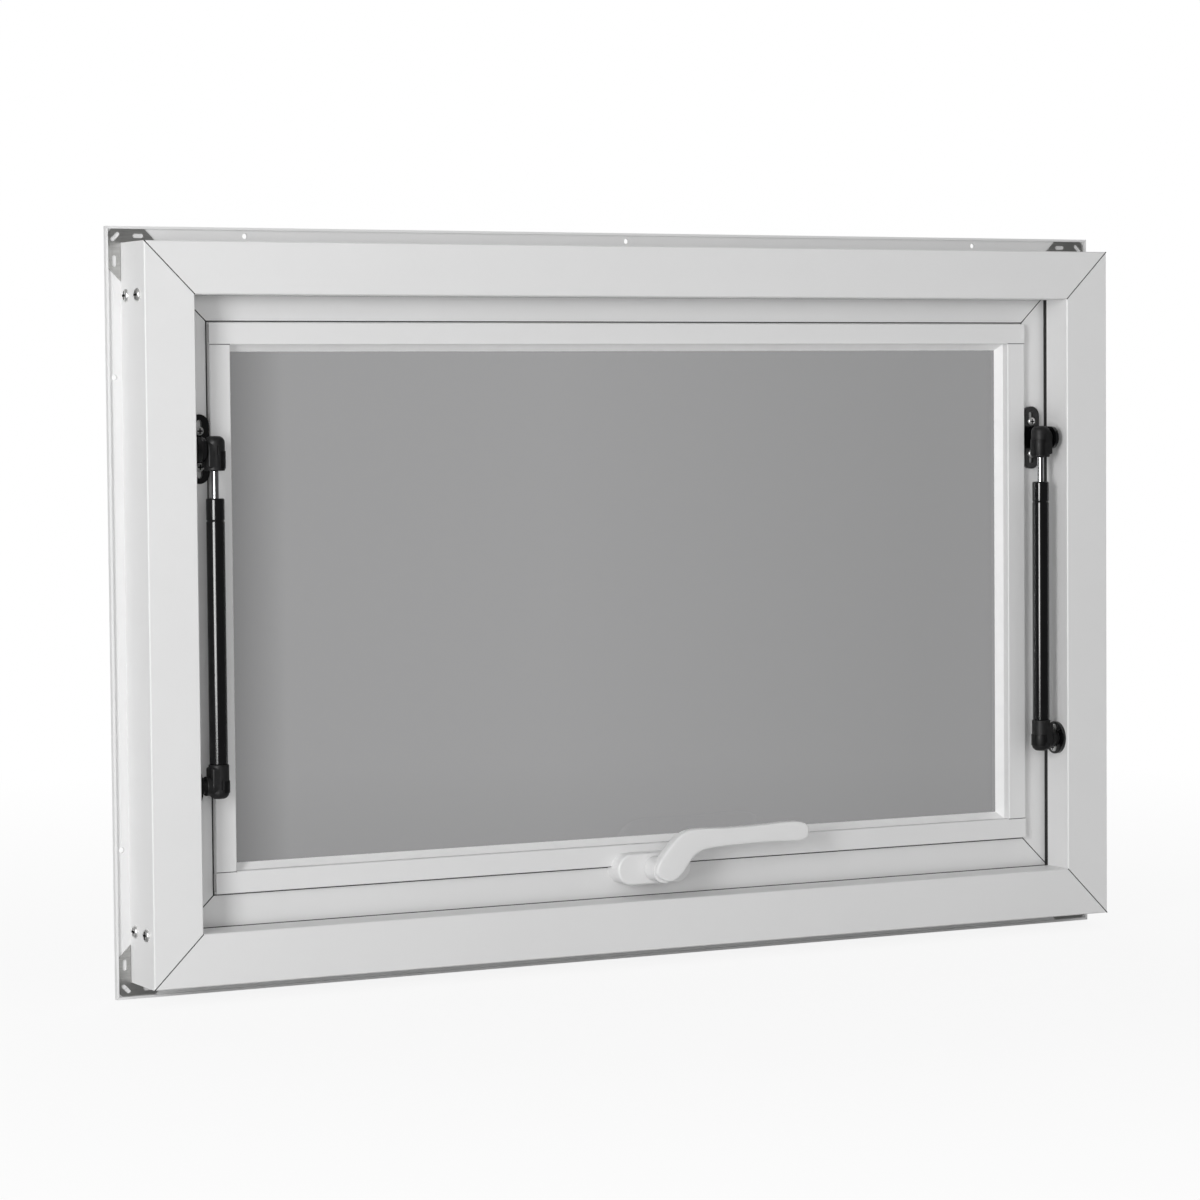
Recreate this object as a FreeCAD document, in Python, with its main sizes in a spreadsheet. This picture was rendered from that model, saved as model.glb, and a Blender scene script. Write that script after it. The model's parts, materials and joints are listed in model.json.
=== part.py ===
# Concession window for a caravan or food trailer: a mitred frame with a clamping flange, a top-hung
# glazed sash on a continuous hinge, two gas struts and a turning lever handle.
# Frame: x to the right seen from inside, y outward through the wall, z up. The origin lies on the rim of
# the bottom flange, which bears on the wall's outer skin. Sizes are millimetres.
import FreeCAD, Part
import Sketcher
import math
import os

V = FreeCAD.Vector
doc = FreeCAD.newDocument("concession_window")

SIZES = [
    ("body_width", 914.4, "frame body, outside width"),
    ("body_height", 595.2, "frame body, outside height"),
    ("face_width", 42.3, "width of the inside face of each rail"),
    ("body_reach", 50.8, "flange rim to the inside face"),
    ("stop_depth", 32.5, "inside face to the back of the stop"),
    ("tube_width", 24.5, "width of the tube beside the sash"),
    ("frame_wall", 2.0, "wall of the frame extrusion"),
    ("flange_reach", 11.2, "body side to the flange rim"),
    ("flange_thick", 2.5, "flange"),
    ("rim_thick", 2.0, "turned rim of the flange"),
    ("rim_height", 3.0, "height of the rim over the flange"),
    ("edge_ease", 0.8, "eased edges of the frame extrusion"),
    ("bead_ease", 0.6, "eased edges of the sash and bead extrusions"),
    ("mitre_gap", 0.15, "gap left at each mitre, per rail"),
    ("flange_hole", 4.6, "screw hole in the flange, diameter"),
    ("hole_line", 6.4, "body side to the screw holes"),
    ("hole_pitch_x", 350.0, "pitch of the holes in the top and bottom flange"),
    ("hole_half_z", 190.0, "holes in the side flanges, above and below the middle"),
    ("plate_thick", 1.2, "corner plate"),
    ("plate_leg", 31.0, "corner plate, leg along its outer edge"),
    ("plate_margin", 0.4, "corner plate, gap to body and rim"),
    ("slot_length", 9.4, "corner plate slot, overall"),
    ("slot_width", 3.6, "corner plate slot, width"),
    ("slot_place", 25.4, "corner plate slot, rim corner to its middle"),
    ("seal_width", 6.2, "weather seal on the stop"),
    ("seal_thick", 5.0, "weather seal, thickness"),
    ("seal_relief", 0.5, "weather seal to the closed sash"),
    ("sash_side_gap", 8.8, "sash to the frame tube, each side"),
    ("sash_top_gap", 6.2, "sash to the frame tube, top"),
    ("sash_bottom_gap", 11.4, "sash to the frame tube, bottom"),
    ("strip_width", 32.5, "sash tube, width"),
    ("sash_wall", 2.0, "wall of the sash extrusion"),
    ("sash_out", 4.9, "flange rim plane to the outer face of the sash"),
    ("lip_thick", 2.5, "outer glazing lip of the sash"),
    ("bead_width", 18.5, "glazing bead with its groove"),
    ("bead_groove", 0.7, "open groove beside the bead"),
    ("bead_proud", 6.0, "bead over the sash face"),
    ("bead_depth", 7.9, "depth of the bead's inner side"),
    ("bead_wall", 1.8, "wall of the bead"),
    ("gasket_rise", 6.3, "glazing gasket, glass to bead"),
    ("gasket_show", 5.5, "glazing gasket, reach past the bead"),
    ("glass_thick", 5.0, "glass"),
    ("glass_gap", 5.0, "glass edge to the sash tube"),
    ("outer_seal_wide", 11.5, "outer glass seal, width"),
    ("hinge_out", 9.5, "hinge axis outside the rim plane"),
    ("hinge_drop", 27.6, "top of the frame body down to the hinge axis"),
    ("hinge_margin", 8.4, "end of the sash to the end of the hinge"),
    ("knuckle_radius", 4.0, "hinge knuckle"),
    ("pin_radius", 2.0, "hinge pin"),
    ("pin_play", 0.06, "hinge pin in its knuckle, radial"),
    ("leaf_thick", 1.5, "hinge leaf"),
    ("leaf_height", 16.0, "hinge leaf"),
    ("strut_inset", 19.9, "jamb to the strut axis"),
    ("strut_y", 37.8, "strut axis inside the rim plane"),
    ("ball_low", 138.0, "lower ball below the middle of the frame"),
    ("ball_high", 132.0, "upper ball above the middle of the frame"),
    ("ball_radius", 5.0, "strut ball"),
    ("ball_play", 0.08, "ball in its cup, radial"),
    ("cylinder_radius", 7.5, "strut cylinder"),
    ("cylinder_length", 213.8, "strut cylinder"),
    ("ring_drop", 17.0, "groove ring below the cylinder's top"),
    ("ring_width", 2.0, "groove ring"),
    ("cylinder_foot", 17.0, "lower ball to the cylinder"),
    ("rod_radius", 3.0, "strut rod"),
    ("rod_play", 0.08, "rod in its gland, radial"),
    ("rod_length", 178.0, "strut rod"),
    ("rod_head", 17.2, "upper ball to the rod's shoulder"),
    ("cup_radius", 8.3, "end fitting, barrel"),
    ("cup_crown", 10.6, "end fitting, ball to its rounded end"),
    ("cup_width", 16.6, "end fitting, twice its reach towards the stud"),
    ("ear_radius", 10.0, "ear of the sash bracket, round end"),
    ("stud_radius", 2.6, "ball stud neck"),
    ("ear_inner", 10.0, "upper ball to the ear"),
    ("ear_thick", 3.0, "ear of the sash bracket"),
    ("stud_play", 0.5, "lower stud to the jamb plate"),
    ("collar_radius", 4.3, "collar of the lower stud"),
    ("collar_thick", 3.0, "collar of the lower stud"),
    ("bracket_thick", 3.5, "sash bracket plate"),
    ("bracket_width", 17.0, "sash bracket plate"),
    ("bracket_height", 56.0, "sash bracket plate"),
    ("bracket_slot_l", 12.0, "slot in the sash bracket, overall"),
    ("bracket_slot_w", 4.6, "slot in the sash bracket, width"),
    ("bracket_slot_at", 17.5, "ball to the middle of each slot"),
    ("jamb_plate_r", 14.4, "round jamb plate"),
    ("jamb_plate_t", 3.0, "round jamb plate, thickness"),
    ("jamb_plate_y", 33.3, "middle of the jamb plate inside the rim plane"),
    ("handle_x", 4.0, "handle from the middle"),
    ("handle_drop", 1.3, "seam under the bottom bead down to the handle"),
    ("base_half", 35.0, "handle base, half length"),
    ("base_radius", 13.4, "handle base, end radius"),
    ("base_thick", 13.8, "handle base over the bead"),
    ("hub_radius", 10.9, "lever hub"),
    ("lever_reach", 23.0, "handle base to the lever's front"),
    ("lever_thick", 11.0, "lever grip, front to back"),
    ("lever_play", 0.4, "lever hub to its base"),
    ("bend_out", 29.0, "hub to the bend, along the grip"),
    ("bend_rise", 25.4, "hub to the bend, upward"),
    ("bend_radius", 8.4, "half width of the grip at the bend"),
    ("crook_radius", 24.0, "inner curve between neck and grip"),
    ("tip_radius", 9.6, "round tip of the grip"),
    ("tip_lift", 0.3, "rise of the grip to its tip"),
    ("lever_length", 140.0, "hub to the lever's tip"),
    ("lever_round", 3.4, "rounded front edge of the lever"),
    ("lever_back_round", 2.4, "rounded back edge of the lever"),
    ("base_round", 2.0, "rounded front edge of the handle base"),
    ("spindle_radius", 4.0, "square-shouldered spindle, round part"),
    ("spindle_play", 0.08, "spindle in the base, radial"),
]

sheet = doc.addObject("Spreadsheet::Sheet", "Sizes")
VALUE = {}
for row, (alias, value, note) in enumerate(SIZES, start=1):
    sheet.set("A%d" % row, note)
    sheet.set("B%d" % row, str(value))
    sheet.setAlias("B%d" % row, alias)
doc.recompute()
for alias, value, note in SIZES:
    VALUE[alias] = float(sheet.get(alias))


class Size:
    """A length with its number and the spreadsheet expression that gives it."""

    def __init__(self, number, text):
        self.number = float(number)
        self.text = text

    @staticmethod
    def of(other):
        return other if isinstance(other, Size) else Size(other, "%.6f" % other)

    def __add__(self, other):
        other = Size.of(other)
        return Size(self.number + other.number, "(%s + %s)" % (self.text, other.text))

    __radd__ = __add__

    def __sub__(self, other):
        other = Size.of(other)
        return Size(self.number - other.number, "(%s - %s)" % (self.text, other.text))

    def __rsub__(self, other):
        return Size.of(other) - self

    def __mul__(self, other):
        other = Size.of(other)
        return Size(self.number * other.number, "(%s * %s)" % (self.text, other.text))

    __rmul__ = __mul__

    def __truediv__(self, other):
        other = Size.of(other)
        return Size(self.number / other.number, "(%s / %s)" % (self.text, other.text))

    def __neg__(self):
        return Size(-self.number, "(0 - %s)" % self.text)


def size(alias):
    return Size(VALUE[alias], "Sizes." + alias)


def bind(obj, prop, value):
    """Sets a property and ties it to the spreadsheet."""
    value = Size.of(value)
    obj.setExpression(prop, value.text)


def place(obj, base, turn=None):
    """Puts an object at base = (x, y, z), with an optional rotation."""
    turn = turn or FreeCAD.Rotation()
    base = [Size.of(b) for b in base]
    obj.Placement = FreeCAD.Placement(V(*[b.number for b in base]), turn)
    for axis, b in zip("xyz", base):
        obj.setExpression(".Placement.Base." + axis, b.text)


def new_body(label):
    body = doc.addObject("PartDesign::Body", label)
    body.Label = label
    return body


def datum(body, role):
    """One of the body's own origin planes or axes."""
    return [f for f in body.Origin.OriginFeatures if f.Role == role][0]


def new_sketch(body, name, plane):
    sketch = body.newObject("Sketcher::SketchObject", name)
    sketch.AttachmentSupport = (datum(body, plane), [""])
    sketch.MapMode = "FlatFace"
    return sketch


def fix_point(sketch, geo, pos, x, y):
    """Holds one point of a sketch at x, y from its origin."""
    for kind, value in (("DistanceX", Size.of(x)), ("DistanceY", Size.of(y))):
        number = sketch.addConstraint(Sketcher.Constraint(kind, -1, 1, geo, pos, value.number))
        if "Sizes." in value.text:
            sketch.setExpression("Constraints[%d]" % number, value.text)


def add_polygon(sketch, points):
    points = [(Size.of(x), Size.of(y)) for x, y in points]
    first = sketch.GeometryCount
    count = len(points)
    for i in range(count):
        a, b = points[i], points[(i + 1) % count]
        sketch.addGeometry(Part.LineSegment(V(a[0].number, a[1].number, 0), V(b[0].number, b[1].number, 0)), False)
    for i in range(count):
        sketch.addConstraint(Sketcher.Constraint("Coincident", first + i, 2, first + (i + 1) % count, 1))
    for i in range(count):
        fix_point(sketch, first + i, 1, points[i][0], points[i][1])


def add_circle(sketch, x, y, radius):
    x, y, radius = Size.of(x), Size.of(y), Size.of(radius)
    geo = sketch.addGeometry(Part.Circle(V(x.number, y.number, 0), V(0, 0, 1), radius.number), False)
    number = sketch.addConstraint(Sketcher.Constraint("Radius", geo, radius.number))
    if "Sizes." in radius.text:
        sketch.setExpression("Constraints[%d]" % number, radius.text)
    fix_point(sketch, geo, 3, x, y)


def add_slot(sketch, x0, y0, x1, y1, radius, end_radius=None):
    """A slot between two centres, tapered where its second end has a radius of its own."""
    end_radius = radius if end_radius is None else end_radius
    x0, y0, x1, y1, radius, end_radius = [Size.of(q) for q in (x0, y0, x1, y1, radius, end_radius)]
    a, b = V(x0.number, y0.number, 0), V(x1.number, y1.number, 0)
    ra, rb = radius.number, end_radius.number
    along = b - a
    lean = math.atan2(along.y, along.x)
    spread = math.pi / 2 - math.asin((ra - rb) / along.Length)
    up = V(0, 0, 1)

    def rim(centre, r, angle):
        return centre + V(math.cos(angle), math.sin(angle), 0) * r

    first = sketch.GeometryCount
    sketch.addGeometry(Part.ArcOfCircle(Part.Circle(b, up, rb), lean - spread, lean + spread), False)
    sketch.addGeometry(Part.LineSegment(rim(b, rb, lean + spread), rim(a, ra, lean + spread)), False)
    sketch.addGeometry(Part.ArcOfCircle(Part.Circle(a, up, ra), lean + spread, lean - spread + 2 * math.pi), False)
    sketch.addGeometry(Part.LineSegment(rim(a, ra, lean - spread), rim(b, rb, lean - spread)), False)
    for i in range(4):
        sketch.addConstraint(Sketcher.Constraint("Tangent", first + i, 2, first + (i + 1) % 4, 1))
    for geo, value in ((first, end_radius), (first + 2, radius)):
        number = sketch.addConstraint(Sketcher.Constraint("Radius", geo, value.number))
        if "Sizes." in value.text:
            sketch.setExpression("Constraints[%d]" % number, value.text)
    fix_point(sketch, first, 3, x1, y1)
    fix_point(sketch, first + 2, 3, x0, y0)


def pad(body, sketch, length, middle=False, flip=False):
    feature = body.newObject("PartDesign::Pad", "Pad")
    feature.Profile = sketch
    feature.Midplane = middle
    feature.Reversed = flip
    bind(feature, "Length", length)
    return feature


def cut_through(body, sketch):
    feature = body.newObject("PartDesign::Pocket", "Pocket")
    feature.Profile = sketch
    feature.Midplane = True
    feature.Type = "ThroughAll"
    return feature


def cut(body, sketch, depth, middle=False, flip=False):
    feature = body.newObject("PartDesign::Pocket", "Pocket")
    feature.Profile = sketch
    feature.Midplane = middle
    feature.Reversed = flip
    bind(feature, "Length", depth)
    return feature


def round_edges(body, radius, test):
    """Fillets the edges of the body so far that pass the test."""
    doc.recompute()
    base = body.Tip
    names = ["Edge%d" % (i + 1) for i, edge in enumerate(base.Shape.Edges) if test(edge)]
    feature = body.newObject("PartDesign::Fillet", "Rounded")
    feature.Base = (base, names)
    bind(feature, "Radius", radius)
    return feature


EXPORT = []

# Turns that carry a bottom rail (length along x, inward along +z) to the other three sides.
SIDES = {
    "bottom": FreeCAD.Rotation(),
    "left": FreeCAD.Rotation(V(0, 1, 0), 90),
    "top": FreeCAD.Rotation(V(0, 1, 0), 180),
    "right": FreeCAD.Rotation(V(0, 1, 0), 270),
}

mid_z = size("body_height") / 2 + size("flange_reach") + size("rim_thick") / 2


def side_base(side, width, height, raise_by=0.0):
    """The middle of one outer side of a rectangle centred on the frame."""
    z = mid_z + raise_by
    return {
        "bottom": (0.0, 0.0, z - height / 2),
        "top": (0.0, 0.0, z + height / 2),
        "left": (-(width / 2), 0.0, z),
        "right": (width / 2, 0.0, z),
    }[side]


def rail(label, side, outer, hollow, length, base, mitre, holes=(), gap=0.0):
    """An extruded rail: section (y, inward) swept along its side and cut to 45 degrees at both ends.
    length is the side's length at inward = 0; mitre = (lowest, highest) inward reach of the cut."""
    body = new_body(label)
    section = new_sketch(body, "Section", "YZ_Plane")
    add_polygon(section, [(y, u) for u, y in outer])
    for loop in hollow:
        add_polygon(section, [(y, u) for u, y in loop])
    low, high = mitre
    over = 2.0
    pad(body, section, length - low * 2 + 2 * over, middle=True)
    ends = new_sketch(body, "Mitres", "XZ_Plane")
    half = length / 2 - gap
    for s in (1, -1):
        reach = half - low + over + 4
        add_polygon(ends, [
            (s * (half - low + over), low - over), (s * reach, low - over), (s * reach, high + over),
            (s * (half - high - over), high + over)])
    cut_through(body, ends)
    if holes:
        drill = new_sketch(body, "Holes", "XZ_Plane")
        for x, u, r in holes:
            add_circle(drill, x, u, r)
        cut_through(body, drill)
    place(body, base, SIDES[side])
    EXPORT.append(body)
    return body


# frame rails
w = size("frame_wall")
near = -size("body_reach")
stop_y = near + size("stop_depth")
flange_in = size("rim_height")
flange_out = flange_in + size("flange_thick")
face = size("face_width")
tube = size("tube_width")
reach = size("flange_reach")
rim = reach + size("rim_thick")

ease = size("edge_ease")
frame_section = [
    (Size.of(0), near + ease), (ease, near), (face - ease, near), (face, near + ease), (face, stop_y), (tube, stop_y),
    (tube, flange_out - ease), (tube - ease, flange_out), (ease - rim, flange_out), (-rim, flange_out - ease),
    (-rim, Size.of(0)), (-reach, Size.of(0)), (-reach, flange_in), (Size.of(0), flange_in)]
frame_hollow = [
    [(w, near + w), (face - w, near + w), (face - w, stop_y - w), (w, stop_y - w)],
    [(w, stop_y), (tube - w, stop_y), (tube - w, flange_in - w / 2), (w, flange_in - w / 2)]]

hole_r = size("flange_hole") / 2
pitch = size("hole_pitch_x")
row = [(k * pitch, -size("hole_line"), hole_r) for k in (-1, 0, 1)]
column = [(k * size("hole_half_z"), -size("hole_line"), hole_r) for k in (-1, 1)]
W, H = size("body_width"), size("body_height")
for side, label, length, holes in (
        ("top", "frame_top_rail", W, row), ("bottom", "frame_bottom_rail", W, row),
        ("left", "frame_left_jamb", H, column), ("right", "frame_right_jamb", H, column)):
    rail(label, side, frame_section, frame_hollow, length, side_base(side, W, H), (-rim, face), holes,
         size("mitre_gap"))

# weather seal on the back of the stop, one ring
opening_w, opening_h = W - 2 * face, H - 2 * face
seal = new_body("weather_seal")
ring = new_sketch(seal, "Ring", "XZ_Plane")
for grow in (Size.of(0), size("seal_width")):
    a, b = opening_w / 2 + grow, opening_h / 2 + grow
    add_polygon(ring, [(-a, -b), (a, -b), (a, b), (-a, b)])
pad(seal, ring, size("seal_thick"), flip=True)
place(seal, (0.0, stop_y, mid_z))
EXPORT.append(seal)

# corner plates on the flange
for name, sx, sz in (("top_left", -1, 1), ("top_right", 1, 1), ("bottom_left", -1, -1), ("bottom_right", 1, -1)):
    plate = new_body("corner_plate_" + name)
    shape = new_sketch(plate, "Plate", "XZ_Plane")
    m = size("plate_margin")
    leg = size("plate_leg")
    out_x, out_z = W / 2 + reach - m, H / 2 + reach - m
    in_x, in_z = W / 2 + m, H / 2 + m
    wide = reach - 2 * m
    add_polygon(shape, [
        (sx * (out_x - 3), sz * out_z), (sx * out_x, sz * (out_z - 3)), (sx * out_x, sz * (out_z - leg)),
        (sx * in_x, sz * (out_z - leg - wide)), (sx * in_x, sz * in_z), (sx * (out_x - leg - wide), sz * in_z),
        (sx * (out_x - leg), sz * out_z)])
    pad(plate, shape, size("plate_thick"))
    slots = new_sketch(plate, "Slots", "XZ_Plane")
    r = size("slot_width") / 2
    run = size("slot_length") / 2 - r
    mid_x, mid_w = (out_x + in_x) / 2, (out_z + in_z) / 2
    at = size("slot_place")
    add_slot(slots, sx * (out_x - at - run), sz * mid_w, sx * (out_x - at + run), sz * mid_w, r)
    add_slot(slots, sx * mid_x, sz * (out_z - at - run), sx * mid_x, sz * (out_z - at + run), r)
    lean = run * 0.7071
    add_slot(slots, sx * (mid_x - lean - 0.8), sz * (mid_w + lean - 0.8),
             sx * (mid_x + lean - 0.8), sz * (mid_w - lean - 0.8), r)
    cut_through(plate, slots)
    place(plate, (0.0, flange_in, mid_z))
    EXPORT.append(plate)

# sash tubes
sw = W - 2 * tube - 2 * size("sash_side_gap")
sh = H - 2 * tube - size("sash_top_gap") - size("sash_bottom_gap")
lift = (size("sash_bottom_gap") - size("sash_top_gap")) / 2
strip = size("strip_width")
sash_y = stop_y + size("seal_thick") + size("seal_relief")
sash_out = size("sash_out")
lip_y = sash_out - size("lip_thick")
sw_wall = size("sash_wall")
bead_end = strip + size("bead_width")
soft = size("bead_ease")
sash_section = [
    (Size.of(0), sash_y), (strip - soft, sash_y), (strip, sash_y + soft), (strip, lip_y), (bead_end, lip_y),
    (bead_end, sash_out - soft), (bead_end - soft, sash_out), (soft, sash_out), (Size.of(0), sash_out - soft)]
sash_hollow = [[(sw_wall, sash_y + sw_wall), (strip - sw_wall, sash_y + sw_wall),
                (strip - sw_wall, sash_out - sw_wall), (sw_wall, sash_out - sw_wall)]]
for side, label, length in (("top", "sash_top_rail", sw), ("bottom", "sash_bottom_rail", sw),
                            ("left", "sash_left_stile", sh), ("right", "sash_right_stile", sh)):
    rail(label, side, sash_section, sash_hollow, length, side_base(side, sw, sh, lift), (Size.of(0), bead_end),
         gap=size("mitre_gap"))

# glazing beads: top and bottom run through, the side beads stand between them
bead_y = sash_y - size("bead_proud")
bead_back = bead_y + size("bead_depth")
glass_y = bead_back + size("gasket_rise")
groove = size("bead_groove")
bw = size("bead_wall")
bead_section = [
    (strip + groove, bead_y + soft), (strip + groove + soft, bead_y), (bead_end - soft, bead_y),
    (bead_end, bead_y + soft), (bead_end, bead_back), (strip + bw * 2, bead_back),
    (strip + bw * 2, glass_y - 0.3), (strip, glass_y - 0.3), (strip, sash_y + 1.2), (strip + groove, sash_y + 1.2)]
bead_hollow = [[(strip + groove + bw, bead_y + bw), (bead_end - bw, bead_y + bw),
                (bead_end - bw, bead_back - bw), (strip + groove + bw, bead_back - bw)]]
for side, label, length in (
        ("top", "bead_top", sw - 2 * strip - 2 * groove), ("bottom", "bead_bottom", sw - 2 * strip - 2 * groove),
        ("left", "bead_left", sh - 2 * bead_end - 0.2), ("right", "bead_right", sh - 2 * bead_end - 0.2)):
    bead = new_body(label)
    section = new_sketch(bead, "Section", "YZ_Plane")
    for loop in [bead_section] + bead_hollow:
        add_polygon(section, [(y, u) for u, y in loop])
    pad(bead, section, length, middle=True)
    place(bead, side_base(side, sw, sh, lift), SIDES[side])
    EXPORT.append(bead)

# glazing gasket under the beads, mitred, with its sloped face towards the glass
show = size("gasket_show")
gasket_section = [
    (strip + bw * 2 + 0.3, bead_back), (bead_end, bead_back), (bead_end + show, glass_y),
    (strip + bw * 2 + 0.3, glass_y)]
for side, length in (("top", sw), ("bottom", sw), ("left", sh), ("right", sh)):
    rail("gasket_" + side, side, gasket_section, [], length, side_base(side, sw, sh, lift),
         (strip, bead_end + show))

# glass and its outer seal
glass = new_body("glass_pane")
pane = new_sketch(glass, "Pane", "XZ_Plane")
ga = sw / 2 - strip - size("glass_gap")
gb = sh / 2 - strip - size("glass_gap")
add_polygon(pane, [(-ga, -gb), (ga, -gb), (ga, gb), (-ga, gb)])
pad(glass, pane, size("glass_thick"), flip=True)
place(glass, (0.0, glass_y, mid_z + lift))
EXPORT.append(glass)

outer = new_body("outer_glass_seal")
ring = new_sketch(outer, "Ring", "XZ_Plane")
for grow in (Size.of(0), size("outer_seal_wide")):
    a, b = sw / 2 - bead_end + grow, sh / 2 - bead_end + grow
    add_polygon(ring, [(-a, -b), (a, -b), (a, b), (-a, b)])
pad(outer, ring, lip_y - glass_y - size("glass_thick"), flip=True)
place(outer, (0.0, glass_y + size("glass_thick"), mid_z + lift))
EXPORT.append(outer)

# continuous hinge on the outside: knuckles of the two leaves take turns along the pin
hinge_y = size("hinge_out")
hinge_z = mid_z + H / 2 - size("hinge_drop")
hinge_length = sw - 2 * size("hinge_margin")
kr, pr, lt = size("knuckle_radius"), size("pin_radius"), size("leaf_thick")
KNUCKLES = 15
step = hinge_length / (2 * KNUCKLES)
tall = size("leaf_height")
frame_back = flange_out - hinge_y
sash_back = sash_out - hinge_y
for label, first, back, turn in (("hinge_frame_leaf", 0, frame_back, 1), ("hinge_sash_leaf", 1, sash_back, -1)):
    leaf = new_body(label)
    flat = new_sketch(leaf, "Leaf", "YZ_Plane")
    clear = kr + 0.9
    add_polygon(flat, [(back, turn * clear), (back + lt, turn * clear), (back + lt, turn * (clear + tall)),
                       (back, turn * (clear + tall))])
    pad(leaf, flat, hinge_length, middle=True)
    tongue = new_sketch(leaf, "Tongue", "YZ_Plane")
    add_polygon(tongue, [(back, turn * (clear + 6)), (back + lt, turn * (clear + 6)), (back + lt, turn * clear),
                         (Size.of(-1.0), turn * (kr - 0.6)), (-(kr - 0.9), turn * 1.6), (back, turn * (kr - 0.6))])
    barrel = new_sketch(leaf, "Knuckle", "YZ_Plane")
    add_circle(barrel, 0.0, 0.0, kr)
    start = step * (first - KNUCKLES) + 0.15
    made = []
    for sketch in (tongue, barrel):
        sketch.setExpression(".AttachmentOffset.Base.z", start.text)
        made.append(pad(leaf, sketch, step - 0.3))
    pattern = leaf.newObject("PartDesign::LinearPattern", "Knuckles")
    pattern.Originals = made
    pattern.Direction = (datum(leaf, "X_Axis"), [""])
    pattern.Occurrences = KNUCKLES
    bind(pattern, "Length", step * (2 * KNUCKLES - 2))
    leaf.Tip = pattern
    bore = new_sketch(leaf, "Bore", "YZ_Plane")
    add_circle(bore, 0.0, 0.0, pr + size("pin_play"))
    cut_through(leaf, bore)
    place(leaf, (0.0, hinge_y, hinge_z))
    EXPORT.append(leaf)

pin = new_body("hinge_pin")
round_pin = new_sketch(pin, "Pin", "YZ_Plane")
add_circle(round_pin, 0.0, 0.0, pr)
pad(pin, round_pin, hinge_length + 2, middle=True)
place(pin, (0.0, hinge_y, hinge_z))
EXPORT.append(pin)


# gas struts and their brackets, a mirrored pair
def primitive(kind, name, base, turn=None, **sizes):
    obj = doc.addObject("Part::" + kind, name)
    for prop, value in sizes.items():
        bind(obj, prop, value)
    place(obj, base, turn)
    return obj


def fuse(name, shapes):
    obj = doc.addObject("Part::MultiFuse", name)
    obj.Shapes = shapes
    obj.Refine = True
    return obj


def take(name, base, tool):
    obj = doc.addObject("Part::Cut", name)
    obj.Base = base
    obj.Tool = tool
    return obj


def keep(obj, label):
    obj.Label = label
    EXPORT.append(obj)
    return obj


ALONG_X = FreeCAD.Rotation(V(0, 1, 0), 90)
AGAINST_X = FreeCAD.Rotation(V(0, 1, 0), -90)
ALONG_Y = FreeCAD.Rotation(V(1, 0, 0), -90)
QUARTER = FreeCAD.Rotation(V(0, 0, 1), 90)

strut_y = -size("strut_y")
z_low = mid_z - size("ball_low")
z_high = mid_z + size("ball_high")
br, bp = size("ball_radius"), size("ball_play")
cr, cw = size("cup_radius"), size("cup_width")
sr = size("stud_radius")
jamb_x = opening_w / 2
strut_x = jamb_x - size("strut_inset")


def cup(tag, x, z, up, s, length):
    """An end fitting: a round barrel in line with the strut, its far end rounded, with a round-topped
    shoulder towards the ball stud and the ball's socket inside."""
    across = ALONG_X if s > 0 else AGAINST_X
    crown = size("cup_crown")
    foot = z - crown if up > 0 else z - length
    stem = primitive("Cylinder", tag + "_barrel", (x, strut_y, foot), Radius=cr, Height=length + crown)
    doc.recompute()
    barrel = doc.addObject("Part::Fillet", tag + "_rounded")
    barrel.Base = stem
    barrel.Edges = [(3 if up > 0 else 1, 4.0, 4.0), (1 if up > 0 else 3, 1.0, 1.0)]
    side_x = x if s > 0 else x - cw / 2
    wide = cr - 0.3
    side_z = z if up > 0 else z - length + 2
    shoulder = fuse(tag + "_shoulder", [
        primitive("Box", tag + "_block", (side_x, strut_y - wide, side_z), Length=cw / 2, Width=2 * wide,
                  Height=length - 2),
        primitive("Cylinder", tag + "_round", (x, strut_y, z), across, Radius=wide, Height=cw / 2)])
    body = fuse(tag + "_body", [barrel, shoulder])
    ball = primitive("Sphere", tag + "_socket", (x, strut_y, z), QUARTER, Radius=br + bp)
    mouth = primitive("Cylinder", tag + "_mouth", (x, strut_y, z), across, Radius=sr + 1.6, Height=cw)
    return take(tag + "_cup", body, fuse(tag + "_hollow", [ball, mouth]))


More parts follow.
